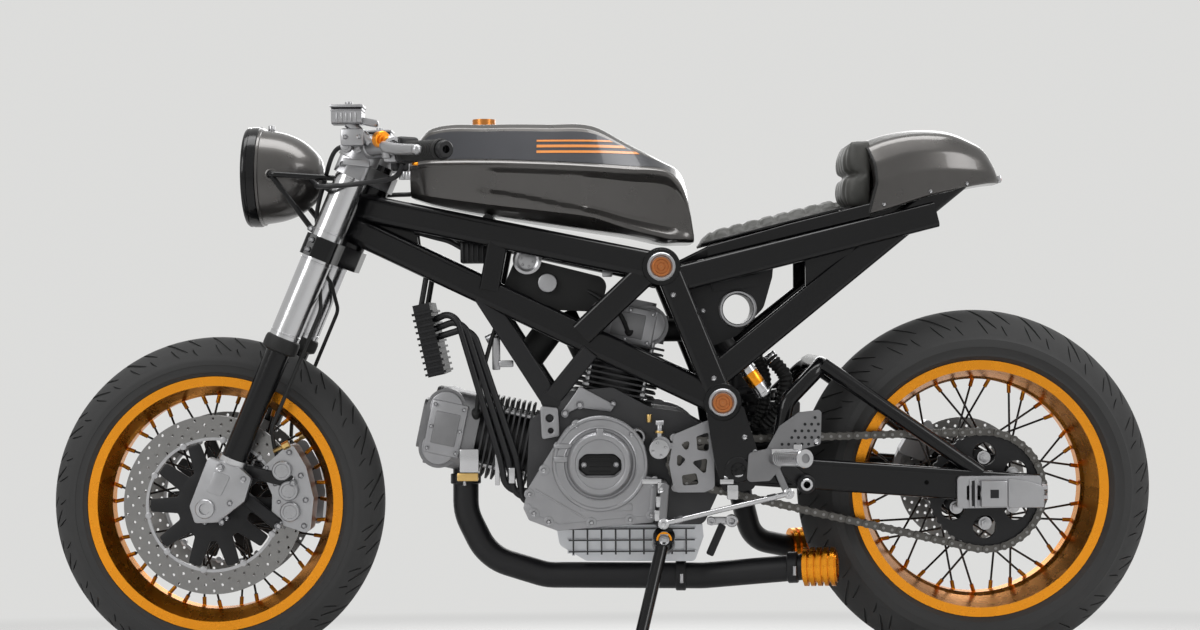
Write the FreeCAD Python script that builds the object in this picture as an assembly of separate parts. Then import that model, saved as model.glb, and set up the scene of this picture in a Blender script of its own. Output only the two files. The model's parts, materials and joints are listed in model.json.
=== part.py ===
"""Cafe racer motorcycle: V-twin engine, oval-tube frame, wire-spoked wheels and a single seat.

The bike is modelled upright: X runs rearwards, Y to the rider's right and Z up, with the ground
below the middle of the wheelbase at the origin. At the end everything is leaned onto the side
stand and moved so that the middle of its footprint, on the ground, is the origin.
All lengths are millimetres and all angles degrees.
"""
import FreeCAD
import Part

import math
import os

from FreeCAD import Vector

# Overall layout
wheelbase = 1370.0
lean_angle = 8.0            # lean onto the side stand
running_clearance = 0.08    # between a shaft and the bore that turns on it
seat_gap = 0.3              # between curved faces that would otherwise only touch
moving_gap = 6.0            # between pieces that move past each other

# Front wheel
front_tyre_radius = 300.0
front_tyre_width = 120.0
front_crown_radius = 62.0
front_rim_width = 102.0
front_flange_y = 34.0       # hub flanges that hold the spokes
front_flange_radius = 42.0
front_disc_radius = 160.0
front_disc_y = 66.0

# Rear wheel
rear_tyre_radius = 320.0
rear_tyre_width = 182.0
rear_crown_radius = 98.0
rear_rim_width = 152.0
rear_flange_y = 40.0
rear_flange_radius = 62.0
rear_disc_radius = 118.0
rear_disc_y = 100.0

# Both wheels
crown_corners = (lean_angle, 3 * lean_angle, 5 * lean_angle)
rim_flange_radius = 229.0
bead_radius = 215.0
rim_well_radius = 194.0
rim_wall = 5.0
spoke_count = 36
spoke_radius = 2.0
nipple_radius = 3.6
nipple_length = 15.0
spoke_rim_y = 9.0
hub_flange_thickness = 7.0
axle_radius = 12.5
disc_thickness = 5.0
disc_band = 42.0            # width of the braking band
carrier_arms = 10

# Fork and steering
rake = 23.0
fork_half_spacing = 107.0
clamp_offset = 26.0         # steering axis to fork legs
axle_lead = 8.0             # fork legs to axle
stanchion_radius = 22.0
outer_tube_radius = 27.0
axle_clamp_station = 98.0   # stations are measured along the fork from the axle
seal_station = 322.0
lower_clamp_station = 498.0
upper_clamp_station = 650.0
fork_top_station = 676.0
lower_clamp_thickness = 38.0
upper_clamp_thickness = 30.0
stem_radius = 14.0
bar_sweep = 35.0            # clip-ons, rearwards of square
bar_drop = 3.0
bar_length = 286.0
bar_radius = 11.1
grip_radius = 16.0
grip_length = 122.0
bar_end_bore = 6.0
line_radius = 3.5

# Headlight
lamp_radius = 91.0
lamp_x = -604.0
lamp_z = 890.0
lamp_depth = 112.0
bezel_length = 26.0

# Frame
head_tube_radius = 31.0
beam_height = 50.0
beam_width = 34.0
beam_corner = 13.0
frame_head_half = 43.0      # beam centres, at the head and at the wide rear part
frame_rear_half = 140.0
upper_joint_x = 115.6
upper_joint_z = 717.6
lower_joint_x = 220.9
lower_joint_z = 480.1
joint_radius = 31.0
plug_radius = 24.5
plug_depth = 8.0
cross_tube_radius = 15.0
rail_height = 46.0
rail_width = 28.0
rail_rear_half = 96.0
rail_front_x = 141.6
rail_front_z = 695.6
rail_rear_x = 486.0
rail_rear_z = 780.0
rail_end_x = 606.0          # the rails run on under the cowl, into the stays
stay_front_x = 211.0
stay_front_z = 527.0
stay_end_x = 650.0
stay_end_z = 875.0
stay_end_half = 64.0
stay_height = 46.0
tank_bar_radius = 10.0

# Engine
crank_x = 6.8
crank_z = 374.0
cylinder_tilt = 12.0        # front cylinder above level, rear cylinder behind upright
bore_radius = 56.0
barrel_base = 118.0         # distances along a cylinder from the crank
head_base = 226.0
front_head_top = 334.0
rear_head_top = 300.0
fin_pitch = 10.0
fin_thickness = 3.4
fin_half_x = 74.0
fin_half_y = 70.0
crankcase_half_width = 92.0
hose_radius = 6.0
cover_thickness = 46.0

# Final drive
chain_pitch = 15.875
front_teeth = 15
rear_teeth = 41
front_sprocket_x = 165.0
front_sprocket_z = 374.0
chain_y = -105.4
chain_inner_width = 9.5     # between the inner plates
chain_plate = 2.2
roller_radius = 5.08
chain_pin_radius = 2.6
pin_gap = 0.5               # the rear sprocket turns freely inside the fixed loop of chain
sprocket_thickness = 7.0
sprocket_bore = 12.0        # drive sprocket on its shaft

# Swingarm
pivot_x = 246.0
pivot_z = 364.0
arm_height = 54.0
arm_width = 28.0
arm_half = 140.0
pivot_shaft_radius = 12.0
brace_radius = 13.0
spool_bore = 4.0            # tapped holes for the bobbins of a paddock stand
spool_depth = 20.0
spool_x = 575.0

# Side stand
stand_pivot = Vector(117.0, -152.0, 244.0)
stand_splay = 33.0
stand_forward = 13.0        # foot ahead of the pivot, in the side view
stand_leg_radius = 11.0
foot_radius = 23.0
foot_thickness = 9.0

# Exhaust
pipe_radius = 23.0
tip_radius = 34.0
pipe_low_z = 168.0

front_x = -wheelbase / 2
rear_x = wheelbase / 2
lean = math.radians(lean_angle)
# Leaned tyres roll onto the sides of their crowns, and this keeps both on one floor.
crown_rise = (rear_crown_radius - front_crown_radius) * (1 / math.cos(lean) - 1)

Y_AXIS = Vector(0, 1, 0)
Z_AXIS = Vector(0, 0, 1)
rake_rad = math.radians(rake)
FORK_UP = Vector(math.sin(rake_rad), 0, math.cos(rake_rad))
FORK_AHEAD = Vector(-math.cos(rake_rad), 0, math.sin(rake_rad))
FRONT_AXLE = Vector(front_x, 0, front_tyre_radius)
REAR_AXLE = Vector(rear_x, 0, rear_tyre_radius + crown_rise)
CRANK = Vector(crank_x, 0, crank_z)
PIVOT = Vector(pivot_x, 0, pivot_z)
UPPER_JOINT = Vector(upper_joint_x, 0, upper_joint_z)
LOWER_JOINT = Vector(lower_joint_x, 0, lower_joint_z)
tilt_rad = math.radians(cylinder_tilt)
FRONT_CYLINDER = Vector(-math.cos(tilt_rad), 0, math.sin(tilt_rad))
REAR_CYLINDER = Vector(math.sin(tilt_rad), 0, math.cos(tilt_rad))


# Shape helpers

def corner_arc(before, corner, after, radius):
    """Start, middle and end of the arc that rounds one corner."""
    back = before - corner
    ahead = after - corner
    room = 0.48 * min(back.Length, ahead.Length)
    back.normalize()
    ahead.normalize()
    half = math.acos(max(-1.0, min(1.0, back.dot(ahead)))) / 2
    if radius <= 0 or half > math.radians(89.5):
        return (corner, corner, corner)
    reach = min(radius / math.tan(half), room)
    turn = reach * math.tan(half)
    middle = (back + ahead).normalize()
    apex = corner + middle * (turn / math.sin(half) - turn)
    return (corner + back * reach, apex, corner + ahead * reach)


def path_edges(arcs, closed):
    """Arcs and the straight runs between them."""
    edges = []
    for i, (start, apex, end) in enumerate(arcs):
        if (start - end).Length > 1e-6:
            edges.append(Part.Arc(start, apex, end).toShape())
        if i + 1 == len(arcs) and not closed:
            break
        following = arcs[(i + 1) % len(arcs)][0]
        if (following - end).Length > 1e-6:
            edges.append(Part.LineSegment(end, following).toShape())
    return edges


def outline(points, radii=0.0):
    """Closed wire through points, its corners rounded by one radius or by one each."""
    count = len(points)
    if not isinstance(radii, (list, tuple)):
        radii = [radii] * count
    arcs = [corner_arc(points[i - 1], points[i], points[(i + 1) % count], radii[i])
            for i in range(count)]
    return Part.Wire(path_edges(arcs, True))


def side_plate(points, y_from, y_to, radii=0.0):
    """Outline of (x, z) pairs, as thick as from one y to another."""
    corners = [Vector(x, y_from, z) for x, z in points]
    return Part.Face(outline(corners, radii)).extrude(Vector(0, y_to - y_from, 0))


def rod(start, end, radius):
    """Round bar between two points."""
    along = end - start
    return Part.makeCylinder(radius, along.Length, start, along)


def sleeve(start, end, outer, inner):
    """Round tube between two points."""
    return rod(start, end, outer).cut(rod(start, end, inner))


def beam(start, end, height, width, corner, side=Y_AXIS):
    """Rounded rectangular bar between two points; its width lies along side."""
    along = end - start
    up = along.cross(side).normalize()
    across = up.cross(along).normalize()
    corners = [start + across * (width / 2 * a) + up * (height / 2 * b)
               for a, b in ((-1, -1), (1, -1), (1, 1), (-1, 1))]
    return Part.Face(outline(corners, corner)).extrude(along)


def bent_pipe(points, radius, bend):
    """Round pipe along straight runs joined by tangent arcs of one bend radius."""
    arcs = [(points[0],) * 3]
    for i in range(1, len(points) - 1):
        arcs.append(corner_arc(points[i - 1], points[i], points[i + 1], bend))
    arcs.append((points[-1],) * 3)
    path = Part.Wire(path_edges(arcs, False))
    section = Part.Wire([Part.makeCircle(radius, points[0], points[1] - points[0])])
    return path.makePipeShell([section], True, True)


def turned(points, centre, radii=0.0):
    """Outline of (radius, y) pairs, turned about the crosswise axis through centre."""
    corners = [centre + Vector(radius, y, 0) for radius, y in points]
    return Part.Face(outline(corners, radii)).revolve(centre, Y_AXIS, 360)


def fuse(shapes):
    """One solid from shapes that touch or overlap."""
    return shapes[0].multiFuse(shapes[1:]).removeSplitter()


def mirrored(shape):
    """The same piece on the other side of the bike."""
    return shape.mirror(Vector(0, 0, 0), Y_AXIS)


def pair(shape):
    """A left piece and its mirror image."""
    return Part.makeCompound([shape, mirrored(shape)])


def cut_all(shape, tools):
    """The shape without what the tools fill."""
    for tool in tools:
        shape = shape.cut(tool)
    return shape


def largest(shape):
    """The main solid of a shape that a cut has left in pieces."""
    return max(shape.Solids, key=lambda solid: solid.Volume)


def fork_point(station, y=0.0, ahead=0.0):
    """Point at a distance along the fork legs from the axle, and ahead of their line."""
    return FRONT_AXLE + FORK_UP * station + FORK_AHEAD * (ahead - axle_lead) + Vector(0, y, 0)


def steer_point(station):
    """Point on the steering axis."""
    return fork_point(station, 0.0, -clamp_offset)


# Wheels

def tyre(centre, radius, width, crown, rim_width):
    """Tyre: a crown of a few flat runs over soft shoulders, down to the beads in the rim.

    One corner of the crown lies where the leaned tyre stands on the ground.
    """
    half = width / 2
    edge = half * 0.93
    shoulder = radius - crown + math.sqrt(crown ** 2 - edge ** 2)
    corners = []
    for angle in crown_corners:
        turn = math.radians(angle)
        corners.append((radius - crown + crown * math.cos(turn), crown * math.sin(turn)))
    wall_low = rim_flange_radius + 11
    over = rim_flange_radius + seat_gap
    rim_edge = rim_width / 2
    bead = rim_edge - rim_wall - seat_gap
    base = bead_radius + seat_gap
    side = corners + [(shoulder, edge), ((shoulder + wall_low) / 2, half), (wall_low, edge),
                      (over, rim_edge), (over, bead), (base, bead)]
    return turned(side + [(r, -y) for r, y in reversed(side)], centre)


def rim(centre, rim_width, hub_radius, flange_y):
    """Drop-centre rim with a nipple for each spoke."""
    edge = rim_width / 2
    seat = edge - rim_wall
    well = 16.0
    slope = well + 14.0
    half = [(rim_flange_radius, edge), (bead_radius - 3, edge), (rim_well_radius + 5, well + 9),
            (rim_well_radius, well - 2)]
    top = [(rim_well_radius + rim_wall, well), (bead_radius, slope), (bead_radius, seat),
           (rim_flange_radius, seat)]
    profile = half + [(r, -y) for r, y in reversed(half)] + [(r, -y) for r, y in reversed(top)] + top
    body = turned(profile, centre)
    nipples = []
    for hub_end, rim_end in spoke_lines(centre, hub_radius, flange_y):
        inward = (hub_end - rim_end).normalize()
        nipples.append(rod(rim_end - inward * 3.0, rim_end + inward * nipple_length, nipple_radius))
    return fuse([body] + nipples)


def spoke_lines(centre, hub_radius, flange_y):
    """Both ends of each laced spoke; on each flange they lean forward and back in turn."""
    lines = []
    sweep = math.radians(62.0)
    for i in range(spoke_count):
        side = -1 if i % 2 else 1
        turn = -1 if (i // 2) % 2 else 1
        rim_angle = 2 * math.pi * i / spoke_count
        hub_angle = rim_angle + turn * sweep
        hub_y = side * (flange_y + turn * (hub_flange_thickness / 2))
        hub_end = Vector(math.cos(hub_angle) * hub_radius, hub_y, math.sin(hub_angle) * hub_radius)
        rim_end = Vector(math.cos(rim_angle) * rim_well_radius, side * spoke_rim_y,
                         math.sin(rim_angle) * rim_well_radius)
        lines.append((centre + hub_end, centre + rim_end))
    return lines


def spoked_hub(centre, hub_radius, flange_y, end_radius, left_end, right_end, axle_bore):
    """Hub barrel, two flanges and the laced spokes out to their nipples."""
    thick = hub_flange_thickness / 2
    waist = hub_radius * 0.55
    half = [(end_radius, flange_y + 12), (waist, flange_y + 8),
            (waist + 4, flange_y + thick), (hub_radius + 5, flange_y + thick),
            (hub_radius + 5, flange_y - thick), (waist, flange_y - thick - 4)]
    profile = ([(axle_bore, right_end), (end_radius, right_end)] + half
               + [(r, -y) for r, y in reversed(half)] + [(end_radius, -left_end), (axle_bore, -left_end)])
    hub = turned(profile, centre)
    spokes = []
    for hub_end, rim_end in spoke_lines(centre, hub_radius, flange_y):
        inward = (hub_end - rim_end).normalize()
        spokes.append(rod(hub_end, rim_end + inward * nipple_length, spoke_radius))
    return fuse([hub] + spokes)


def brake_band(centre, radius, y):
    """Braking ring of a disc, with y at its middle."""
    half = disc_thickness / 2
    return turned([(radius, y - half), (radius, y + half),
                   (radius - disc_band, y + half), (radius - disc_band, y - half)], centre)


def carrier(centre, radius, y, inner_radius, arms):
    """Disc carrier: a star of arms from the hub out to the braking ring."""
    half = disc_thickness / 2
    outer = radius - disc_band
    core = turned([(inner_radius + 14, y - half), (inner_radius + 14, y + half),
                   (inner_radius, y + half), (inner_radius, y - half)], centre)
    band = turned([(outer, y - half), (outer, y + half), (outer - 8, y + half),
                   (outer - 8, y - half)], centre)
    pieces = [core, band]
    for i in range(arms):
        angle = 2 * math.pi * (i + 0.5) / arms
        out = Vector(math.cos(angle), 0, math.sin(angle))
        start = centre + out * (inner_radius + 8) + Vector(0, y, 0)
        end = centre + out * (outer - 4) + Vector(0, y, 0)
        pieces.append(beam(start, end, 13.0, disc_thickness, 0))
    return fuse(pieces)


def front_wheel():
    """Everything that turns on the front axle."""
    hub_end = front_disc_y - disc_thickness / 2
    bore = axle_radius + running_clearance
    disc = fuse([brake_band(FRONT_AXLE, front_disc_radius, -front_disc_y),
                 carrier(FRONT_AXLE, front_disc_radius, -front_disc_y, 24.0, carrier_arms)])
    return {
        "front_tyre": tyre(FRONT_AXLE, front_tyre_radius, front_tyre_width, front_crown_radius,
                           front_rim_width),
        "front_rim": rim(FRONT_AXLE, front_rim_width, front_flange_radius, front_flange_y),
        "front_hub": spoked_hub(FRONT_AXLE, front_flange_radius, front_flange_y, 32.0, hub_end, hub_end, bore),
        "front_discs": pair(disc),
    }


def rear_wheel(turn):
    """Everything that turns on the rear axle, with the sprocket's teeth between the chain's pins."""
    bore = axle_radius + running_clearance
    sprocket_half = sprocket_thickness / 2
    left_end = -chain_y - sprocket_half
    right_end = rear_disc_y - disc_thickness / 2
    return {
        "rear_tyre": tyre(REAR_AXLE, rear_tyre_radius, rear_tyre_width, rear_crown_radius,
                          rear_rim_width),
        "rear_rim": rim(REAR_AXLE, rear_rim_width, rear_flange_radius, rear_flange_y),
        "rear_hub": spoked_hub(REAR_AXLE, rear_flange_radius, rear_flange_y, 46.0, left_end, right_end,
                               bore),
        "rear_sprocket": sprocket(REAR_AXLE, rear_teeth, turn, 30.0, 6, -chain_pin_radius - pin_gap),
        "rear_disc": fuse([brake_band(REAR_AXLE, rear_disc_radius, rear_disc_y),
                           carrier(REAR_AXLE, rear_disc_radius, rear_disc_y, 28.0, 6)]),
    }


# Final drive

def pitch_radius(teeth):
    return chain_pitch / (2 * math.sin(math.pi / teeth))


def seat_angle(centre, pin):
    """Turn of a sprocket that puts one of its seats under a chain pin."""
    return math.atan2(pin.z - centre.z, pin.x - centre.x)


def sprocket(centre, teeth, turn, bore, windows, tip_height):
    """Toothed wheel with a round seat for each roller and lightening windows."""
    pitch = pitch_radius(teeth)
    tip = pitch + tip_height
    half = sprocket_thickness / 2
    root = pitch - roller_radius
    blank = turned([(tip, chain_y - half), (tip, chain_y + half),
                    (bore, chain_y + half), (bore, chain_y - half)], centre)
    seats = []
    for i in range(teeth):
        angle = turn + 2 * math.pi * i / teeth
        out = Vector(math.cos(angle), 0, math.sin(angle))
        at = centre + out * pitch + Vector(0, chain_y - half - 1, 0)
        seats.append(Part.makeCylinder(roller_radius + 1.2, sprocket_thickness + 2, at, Y_AXIS))
    wheel = blank.cut(Part.makeCompound(seats))
    if windows:
        middle = (root + bore) / 2
        size = (root - bore) * 0.3
        holes = []
        for i in range(windows):
            angle = 2 * math.pi * (i + 0.5) / windows
            at = centre + Vector(math.cos(angle) * middle, chain_y - half - 1, math.sin(angle) * middle)
            holes.append(Part.makeCylinder(size, sprocket_thickness + 2, at, Y_AXIS))
        wheel = wheel.cut(Part.makeCompound(holes))
    return wheel


def belt(centre_a, radius_a, centre_b, radius_b):
    """Tangent loop round two circles: its length and the point at a distance along it."""
    gap = (centre_b - centre_a).Length
    heading = math.atan2(centre_b.z - centre_a.z, centre_b.x - centre_a.x)
    spread = math.acos((radius_a - radius_b) / gap)
    run = math.sqrt(gap ** 2 - (radius_a - radius_b) ** 2)
    wrap_a = 2 * math.pi - 2 * spread
    wrap_b = 2 * spread
    spans = [radius_a * wrap_a, run, radius_b * wrap_b, run]

    def around(centre, radius, angle):
        return centre + Vector(math.cos(angle) * radius, 0, math.sin(angle) * radius)

    def at(distance):
        distance = distance % sum(spans)
        if distance < spans[0]:
            return around(centre_a, radius_a, heading + spread + distance / radius_a)
        distance -= spans[0]
        low_a = around(centre_a, radius_a, heading - spread)
        low_b = around(centre_b, radius_b, heading - spread)
        if distance < spans[1]:
            return low_a + (low_b - low_a) * (distance / run)
        distance -= spans[1]
        if distance < spans[2]:
            return around(centre_b, radius_b, heading - spread + distance / radius_b)
        distance -= spans[2]
        high_a = around(centre_a, radius_a, heading + spread)
        high_b = around(centre_b, radius_b, heading + spread)
        return high_b + (high_a - high_b) * (distance / run)

    return sum(spans), at


def chain_layout():
    """Drive sprocket centre and chain pins: the sprocket moves until a whole chain closes."""
    nominal = Vector(front_sprocket_x, 0, front_sprocket_z)
    toward = (nominal - REAR_AXLE).normalize()
    # Rollers cut the corners of their pitch circles, so the loop is measured on a slightly
    # smaller circle whose arc over one tooth is one pitch.
    radius_f = front_teeth * chain_pitch / (2 * math.pi)
    radius_r = rear_teeth * chain_pitch / (2 * math.pi)
    length, _ = belt(nominal, radius_f, REAR_AXLE, radius_r)
    links = 2 * round(length / chain_pitch / 2)
    low, high = -20.0, 20.0
    for _ in range(40):
        middle = (low + high) / 2
        length, _ = belt(nominal + toward * middle, radius_f, REAR_AXLE, radius_r)
        if length < links * chain_pitch:
            low = middle
        else:
            high = middle
    centre = nominal + toward * middle
    total, at = belt(centre, pitch_radius(front_teeth), REAR_AXLE, pitch_radius(rear_teeth))
    return centre, [at(total * i / links) for i in range(links)]


def link_plate(a, b, half_height, y_from, y_to):
    """One side plate: six corners round two pins."""
    along = (b - a).normalize()
    up = Vector(-along.z, 0, along.x)
    corners = [a - along * half_height, a + up * half_height, b + up * half_height,
               b + along * half_height, b - up * half_height, a - up * half_height]
    corners = [Vector(p.x, y_from, p.z) for p in corners]
    return Part.Face(outline(corners)).extrude(Vector(0, y_to - y_from, 0))


def drive_chain(pins):
    """Links of the chain: inner links hold the rollers and outer links bridge them."""
    inner = chain_inner_width / 2
    pieces = []
    for i, pin in enumerate(pins):
        following = pins[(i + 1) % len(pins)]
        offset = 0.0 if i % 2 else chain_plate
        height = 6.6 if i % 2 else 7.2
        for side in (-1, 1):
            near = chain_y + side * (inner + offset)
            far = near + side * chain_plate
            pieces.append(link_plate(pin, following, height, near, far))
        ends = inner + 2 * chain_plate
        square = [(pin.x + chain_pin_radius * a, pin.z + chain_pin_radius * b)
                  for a, b in ((-1, 0), (0, -1), (1, 0), (0, 1))]
        pieces.append(side_plate(square, chain_y - ends, chain_y + ends))
    return fuse(pieces)


# Frame

def frame_half(x):
    """Distance of the frame's beams from the middle plane."""
    head_x = steer_point(lower_clamp_station).x
    share = max(0.0, min(1.0, (x - head_x) / (upper_joint_x - head_x)))
    return frame_head_half + (frame_rear_half - frame_head_half) * share


def on_frame(x, z):
    """Point on the left beam's centre surface."""
    return Vector(x, -frame_half(x), z)


def left_joint(joint, y_from, y_to, radius):
    """Round boss on the left, at a frame joint."""
    return rod(joint + Vector(0, y_from, 0), joint + Vector(0, y_to, 0), radius)


def frame():
    """Welded frame: head, beams down both sides, struts, posts, cross tubes and plugs."""
    low_end = lower_clamp_station + lower_clamp_thickness / 2 + seat_gap
    high_end = upper_clamp_station - upper_clamp_thickness / 2 - seat_gap
    head = sleeve(steer_point(low_end), steer_point(high_end), head_tube_radius, stem_radius + 8)
    top_start = steer_point(high_end - 42)
    low_start = steer_point(low_end + 34)
    outer = frame_rear_half + beam_width / 2
    inner = frame_rear_half - beam_width / 2
    top_beam = beam(Vector(top_start.x, -frame_head_half, top_start.z),
                    on_frame(upper_joint_x, upper_joint_z), beam_height, beam_width, beam_corner)
    low_beam = beam(Vector(low_start.x, -frame_head_half, low_start.z),
                    on_frame(lower_joint_x, lower_joint_z), beam_height, beam_width, beam_corner)
    # Gusset plates and a cross bar join the beams to the head tube.
    gusset_points = [(top_start.x - 22, top_start.z + 20), (top_start.x + 95, top_start.z - 8),
                     (low_start.x + 120, low_start.z - 40), (low_start.x - 14, low_start.z - 18)]
    gusset = side_plate(gusset_points, -frame_head_half + beam_width / 2, -head_tube_radius + 12, 10)
    bar = rod(Vector(top_start.x + 60, -frame_head_half, top_start.z - 22),
              Vector(top_start.x + 60, frame_head_half, top_start.z - 22), 12)
    bore = rod(steer_point(low_end - 10), steer_point(high_end + 10), stem_radius + 8)
    head = fuse([head, gusset, mirrored(gusset), bar]).cut(bore)
    boss_up = left_joint(UPPER_JOINT, -outer, -inner, joint_radius)
    boss_low = left_joint(LOWER_JOINT, -outer, -inner, joint_radius)
    cross = []
    bores = [left_joint(joint, -outer - 1, -outer + plug_depth, plug_radius)
             for joint in (UPPER_JOINT, LOWER_JOINT)]
    for joint, boss, hole in zip((UPPER_JOINT, LOWER_JOINT), (boss_up, boss_low), bores):
        tube = left_joint(joint, -outer + plug_depth + 4, outer - plug_depth - 4, cross_tube_radius)
        cross.append(fuse([tube, boss.cut(hole), mirrored(boss.cut(hole))]))
    around_stem = rod(steer_point(0), steer_point(fork_top_station), head_tube_radius + 3)
    top_beam = cut_all(top_beam, [head, boss_up, cross[0], around_stem])
    low_beam = cut_all(low_beam, [head, boss_low, cross[1], top_beam, around_stem])
    low_beam = largest(low_beam)
    top_beam = largest(top_beam)

    strut = beam(on_frame(-170.0, 775.0), on_frame(-188.0, 680.0), 36, 24, 6)
    brace = beam(on_frame(104.0, 722.0), on_frame(-24.0, 602.0), 44, 26, 8)
    post = beam(on_frame(upper_joint_x + 10, upper_joint_z), on_frame(lower_joint_x, lower_joint_z),
                46, 30, 9)
    struts = [cut_all(strut, [top_beam, low_beam]), cut_all(brace, [top_beam, low_beam, boss_up])]
    post = cut_all(post, [boss_up, boss_low, top_beam, low_beam])
    struts = [largest(piece) for piece in struts]
    post = largest(post)

    plugs = []
    for joint in (UPPER_JOINT, LOWER_JOINT):
        plug = left_joint(joint, -outer - 3, -outer + plug_depth, plug_radius)
        rim_edges = [edge for edge in plug.Edges if edge.CenterOfMass.y < -outer - 2]
        plug = plug.makeChamfer(2.0, rim_edges)
        dish = left_joint(joint, -outer - 4, -outer - 1, plug_radius - 7)
        plug = plug.cut(dish)
        plugs += [plug, mirrored(plug)]

    # Pivot plates drop from the lower joint to the swingarm pivot.
    plate_points = [(lower_joint_x - 30, lower_joint_z - 6), (lower_joint_x + 34, lower_joint_z - 2),
                    (pivot_x + 34, pivot_z + 34), (pivot_x + 30, pivot_z - 34),
                    (pivot_x - 26, pivot_z - 40), (pivot_x - 42, pivot_z + 22)]
    plate = side_plate(plate_points, -frame_rear_half - 28, -frame_rear_half - arm_width / 2 - 1.0, 14)
    plate = cut_all(plate, [left_joint(LOWER_JOINT, -outer - 40, -inner, joint_radius), low_beam, post])
    plate = largest(plate)
    pin = left_joint(PIVOT, -frame_rear_half - 30, -crankcase_half_width + 10, pivot_shaft_radius)
    plate = fuse([plate, pin])
    return {
        "frame_head": head,
        "frame_top_beams": pair(top_beam),
        "frame_down_beams": pair(low_beam),
        "frame_struts": Part.makeCompound([pair(piece) for piece in struts + [post]]),
        "frame_cross_tubes": Part.makeCompound(cross),
        "frame_plugs": Part.makeCompound(plugs),
        "pivot_plates": pair(plate),
    }


def rail_top(x):
    """Height of the seat rails' upper face, where the seat pan lies."""
    slope = (rail_rear_z - rail_front_z) / (rail_rear_x - rail_front_x)
    return rail_front_z + slope * (x - rail_front_x) + rail_height / 2 * math.hypot(1, slope)


def tank_rest(top_beams):
    """Cross bar on the top beams that carries the front of the tank."""
    x = -190.0
    z = tank_floor(x) - tank_bar_radius - seat_gap
    bar = rod(Vector(x, -frame_half(x), z), Vector(x, frame_half(x), z), tank_bar_radius)
    return bar.cut(top_beams)


def tail_frame(struts, cross_tubes, cowl):
    """Seat rails that run into the stays below them, with the cross bars between the two sides."""
    rail_front = Vector(rail_front_x, -frame_rear_half + 4, rail_front_z)
    rail_rear = Vector(rail_rear_x, -rail_rear_half, rail_rear_z)
    run_on = (rail_end_x - rail_front_x) / (rail_rear_x - rail_front_x)
    rail_end = rail_front + (rail_rear - rail_front) * run_on
    stay_front = Vector(stay_front_x, -frame_rear_half + 4, stay_front_z)
    stay_end = Vector(stay_end_x, -stay_end_half, stay_end_z)
    rail = beam(rail_front, rail_end, rail_height, rail_width, 9)
    stay = beam(stay_front, stay_end, stay_height, 26.0, 9)
    # A gusset closes the narrow corner where the rail and the stay meet.
    gusset = side_plate([(372.0, 735.0), (466.0, 758.0), (452.0, 740.0), (372.0, 676.0)], -107.0, -101.0)
    side = fuse([rail, stay, gusset])
    side = largest(cut_all(side, [struts, cross_tubes, cowl]))
    sides = [side, mirrored(side)]
    bars = []
    for x, half, drop in ((300.0, frame_rear_half - 20, 14.0), (590.0, 76.0, 24.0)):
        z = rail_top(x) - drop
        bar = rod(Vector(x, -half, z), Vector(x, half, z), 9.0)
        bars.append(largest(cut_all(bar, sides)))
    return {
        "seat_frame": Part.makeCompound(sides),
        "frame_cross_tubes": Part.makeCompound([cross_tubes] + bars),
    }


# Bodywork

def section_loft(sections, straight=False):
    """Body lofted along X through (x, rounded half outline of (y, z)) sections, mirrored."""
    wires = []
    for x, half, radii in sections:
        points = [Vector(x, y, z) for y, z in half] + [Vector(x, -y, z) for y, z in reversed(half)]
        wires.append(outline(points, list(radii) + list(reversed(radii))))
    return Part.makeLoft(wires, True, straight)


# x, then the heights of the underside, lower edge, crease and top, and the half widths there
TANK_STATIONS = [
    (-330.0, 848.0, 856.0, 900.0, 928.0, 40.0, 52.0, 66.0, 46.0),
    (-292.0, 836.0, 847.0, 903.0, 969.0, 56.0, 84.0, 96.0, 64.0),
    (-190.0, 816.0, 831.0, 901.0, 974.0, 70.0, 110.0, 126.0, 84.0),
    (-80.0, 798.0, 817.0, 896.0, 973.0, 78.0, 120.0, 140.0, 92.0),
    (-4.0, 786.0, 806.0, 892.0, 970.0, 80.0, 116.0, 136.0, 88.0),
    (60.0, 776.0, 785.0, 888.0, 938.0, 80.0, 106.0, 122.0, 78.0),
    (126.0, 762.0, 768.0, 884.0, 905.0, 78.0, 98.0, 106.0, 70.0),
    (148.0, 762.0, 767.0, 868.0, 893.0, 76.0, 94.0, 98.0, 62.0),
    (162.0, 762.0, 767.0, 842.0, 870.0, 72.0, 90.0, 93.0, 56.0),
    (171.0, 762.0, 766.0, 806.0, 828.0, 68.0, 84.0, 88.0, 52.0),
    (177.0, 763.0, 766.0, 770.0, 776.0, 64.0, 78.0, 80.0, 50.0),
]


def tank_floor(x):
    """Height of the tank's underside at one of its stations."""
    return {station[0]: station[1] for station in TANK_STATIONS}[x]


def fuel_tank():
    """Tank: flat upper side panels over a creased shoulder, and a narrower underside."""
    sections = []
    for station in TANK_STATIONS:
        heights = station[1:5]
        halves = station[5:9]
        sections.append((station[0], list(zip(halves, heights)), (8.0, 12.0, 6.0, 14.0)))
    return section_loft(sections, straight=True)


def tank_cap():
    """Filler cap on a low collar."""
    base = Vector(-201.0, 0, 971.0)
    collar = Part.makeCylinder(25.0, 7.0, base, Z_AXIS)
    lid = Part.makeCylinder(21.0, 14.0, base + Vector(0, 0, 7.0), Z_AXIS)
    return fuse([collar, lid])


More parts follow.
